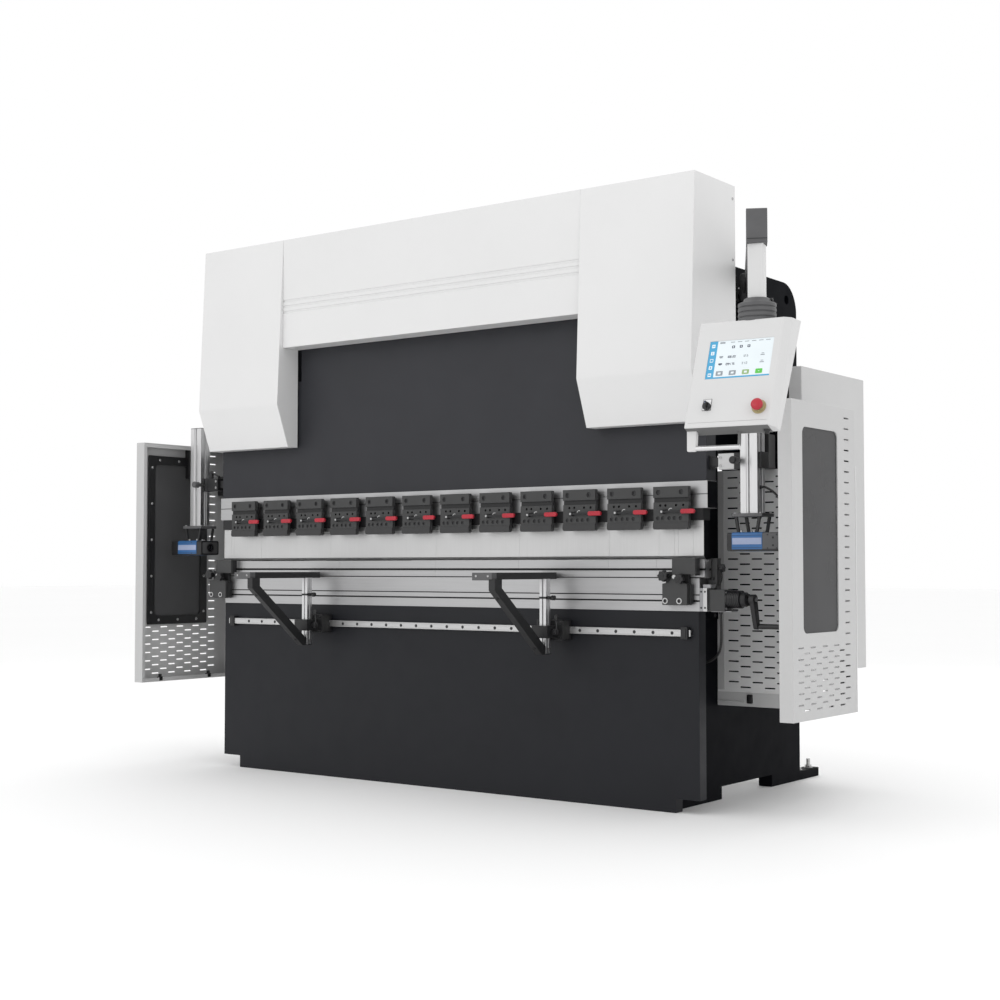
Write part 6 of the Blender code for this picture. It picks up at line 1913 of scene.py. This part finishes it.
def cabinet_gear(piece):
    """Mounting plate with ducts, breakers, drives and terminals."""
    plate = CAB_IN + CAB_WALL
    piece.add(block((plate + 0.004, plate + 0.0065), (0.552, 0.984), (0.520, 1.614), 0.0006, 1),
              GROUND_PALE)
    for z in (0.560, 0.800, 1.060, 1.320, 1.575):
        piece.add(block((plate + 0.006, plate + 0.062), (0.566, 0.970), (z - 0.020, z + 0.020), 0.0015),
                  LIGHT_GREY)
        for i in range(24):
            y = 0.574 + i * 0.0168
            piece.add(block((plate + 0.020, plate + 0.0612), (y, y + 0.006), (z - 0.0208, z + 0.0208), 0.0),
                      DARK_PLASTIC)
    rows = ((0.680, 0.030, 0.018, BLACK_PLASTIC, 0.060), (0.930, 0.045, 0.0, DARK_PLASTIC, 0.085),
            (1.190, 0.018, 0.0, LIGHT_GREY, 0.070), (1.450, 0.085, 0.004, DARK_PLASTIC, 0.130))
    for z, width, gap, mat, deep in rows:
        piece.add(block((plate + 0.006, plate + 0.014), (0.566, 0.970), (z - 0.0175, z + 0.0175), 0.0006,
                        1), BRIGHT)
        y, i = 0.580, 0
        while y + width < 0.960:
            height = (0.040, 0.046, 0.040, 0.052)[i % 4] * (1.0 if deep < 0.1 else 1.8)
            piece.add(block((plate + 0.012, plate + deep), (y + 0.0006, y + width - 0.0006),
                            (z - height, z + height), 0.0018), mat)
            step = (plate + deep - 0.001, plate + deep + 0.006)
            piece.add(block(step, (y + width * 0.25, y + width * 0.75), (z - 0.010, z + 0.012), 0.001),
                      (PALE_LABEL, BLACK_PLASTIC, BLUE_COVER, SHADED_YELLOW)[i % 4 if width < 0.04 else 1])
            y += width + gap
            i += 1


def electrical_cabinet():
    wall = CAB_WALL
    shell = block((CAB_IN, CAB_OUT), CAB_Y, CAB_Z)
    hollow = block((CAB_IN + wall, CAB_OUT + 0.01), (CAB_Y[0] + wall, CAB_Y[1] - wall),
                   (CAB_Z[0] + wall, CAB_Z[1] - wall))
    shell = soften(carved(shell, [hollow]), 0.0016, 3)
    vents = [prism(rounded((1.170, 1.290), (z - 0.003, z + 0.003), 0.003, 4), "Y", CAB_Y[1] - 0.02,
                   CAB_Y[1] + 0.01)
             for z in [1.480 + i * 0.014 for i in range(8)]]
    piece = Piece("cabinet_case")
    piece.add(carved(shell, vents), BASE_BLACK)
    for z in ((0.560, 0.640), (1.480, 1.560)):
        piece.add(block((FRAME_OUT + GAP, CAB_IN + 0.004), (0.560, 0.960), z, 0.0015), BASE_BLACK)
    rim = ((CAB_Y[0] + 0.001, CAB_Y[0] + 0.020), (CAB_Y[1] - 0.020, CAB_Y[1] - 0.001))
    for y in rim:
        piece.add(block((CAB_OUT - 0.006, CAB_OUT - 0.0005), y, (CAB_Z[0] + 0.002, CAB_Z[1] - 0.002),
                        0.001), BASE_BLACK)
        middle = (y[0] + y[1]) / 2
        piece.add(block((CAB_OUT - 0.0012, CAB_OUT - 0.0002), (middle - 0.004, middle + 0.004),
                        (CAB_Z[0] + 0.010, CAB_Z[1] - 0.010), 0.0003, 1), RUBBER)
    cabinet_gear(piece)
    for y in (0.620, 0.700, 0.780, 0.860):
        piece.add(turned([(0.016, 0.4915), (0.016, 0.480), (0.012, 0.474), (0.0085, 0.470)], "Z",
                         (1.240, y), 28), BLACK_PLASTIC)
    for v in (0.58, 0.94):
        heads = [(CAB_IN + 0.130, v, CAB_Z[1] - 0.0005)]
        screws(piece, BRIGHT, (pan_screw, 0.008, 0.004), heads, (0, 0, 1))
    piece.done("machine", ("electrical_cabinet",))


def cabinet_door():
    wall, inner = 0.006, CAB_OUT + GAP
    (_, outer), (front, rear), (low, top) = spans("cabinet_door")
    shell = block((inner, outer), (front, rear), (low, top))
    hollow = block((inner - 0.01, outer - wall), (front + wall, rear - wall), (low + wall, top - wall))
    piece = Piece("cabinet_door_pan")
    piece.add(soften(carved(shell, [hollow]), 0.0022, 3), LIGHT_GREY)
    lip = 0.012
    for y in ((front + wall - 0.001, front + wall + lip), (rear - wall - lip, rear - wall + 0.001)):
        piece.add(block((inner, inner + 0.002), y, (low + wall - 0.001, top - wall + 0.001), 0.0005, 1),
                  LIGHT_GREY)
    piece.add(block((outer - wall - 0.004, outer - wall + 0.001), (front + 0.040, rear - 0.040),
                    (1.040, 1.080), 0.0015), LIGHT_GREY)
    for z in (low + 0.150, top - 0.150):
        piece.add(block((outer - wall - 0.012, outer - wall + 0.001), (rear - 0.060, rear - wall),
                        (z - 0.050, z + 0.050), 0.0018), BRIGHT)
        piece.add(bar((outer - 0.0105, rear - 0.0105), 0.0042, "Z", z - 0.055, z + 0.055, 20), BRIGHT)
    for z in (low + 0.300, top - 0.300):
        piece.add(ring((front + 0.040, z), 0.0145, 0.0100, "X", outer - 0.0010, outer + 0.00003, 36),
                  BRIGHT)
        piece.add(prism(rounded((front + 0.0365, front + 0.0435), (z - 0.0035, z + 0.0035), 0.001, 3), "X",
                        outer - 0.003, outer - 0.0001),
                  BLACK_OXIDE)
        piece.add(block((outer - wall - 0.010, outer - wall), (front + 0.010, front + 0.060),
                        (z - 0.010, z + 0.010), 0.002), BRIGHT)
    piece.done("cabinet_door", ("cabinet_door",))


CAB_IN, CAB_OUT, CAB_WALL = FRAME_OUT + 0.0103, 1.350, 0.008
CAB_Y, CAB_Z = (0.530, 1.006), (0.490, 1.644)
rear_tie_beam()
hydraulic_unit()
back_gauge()
electrical_cabinet()
cabinet_door()
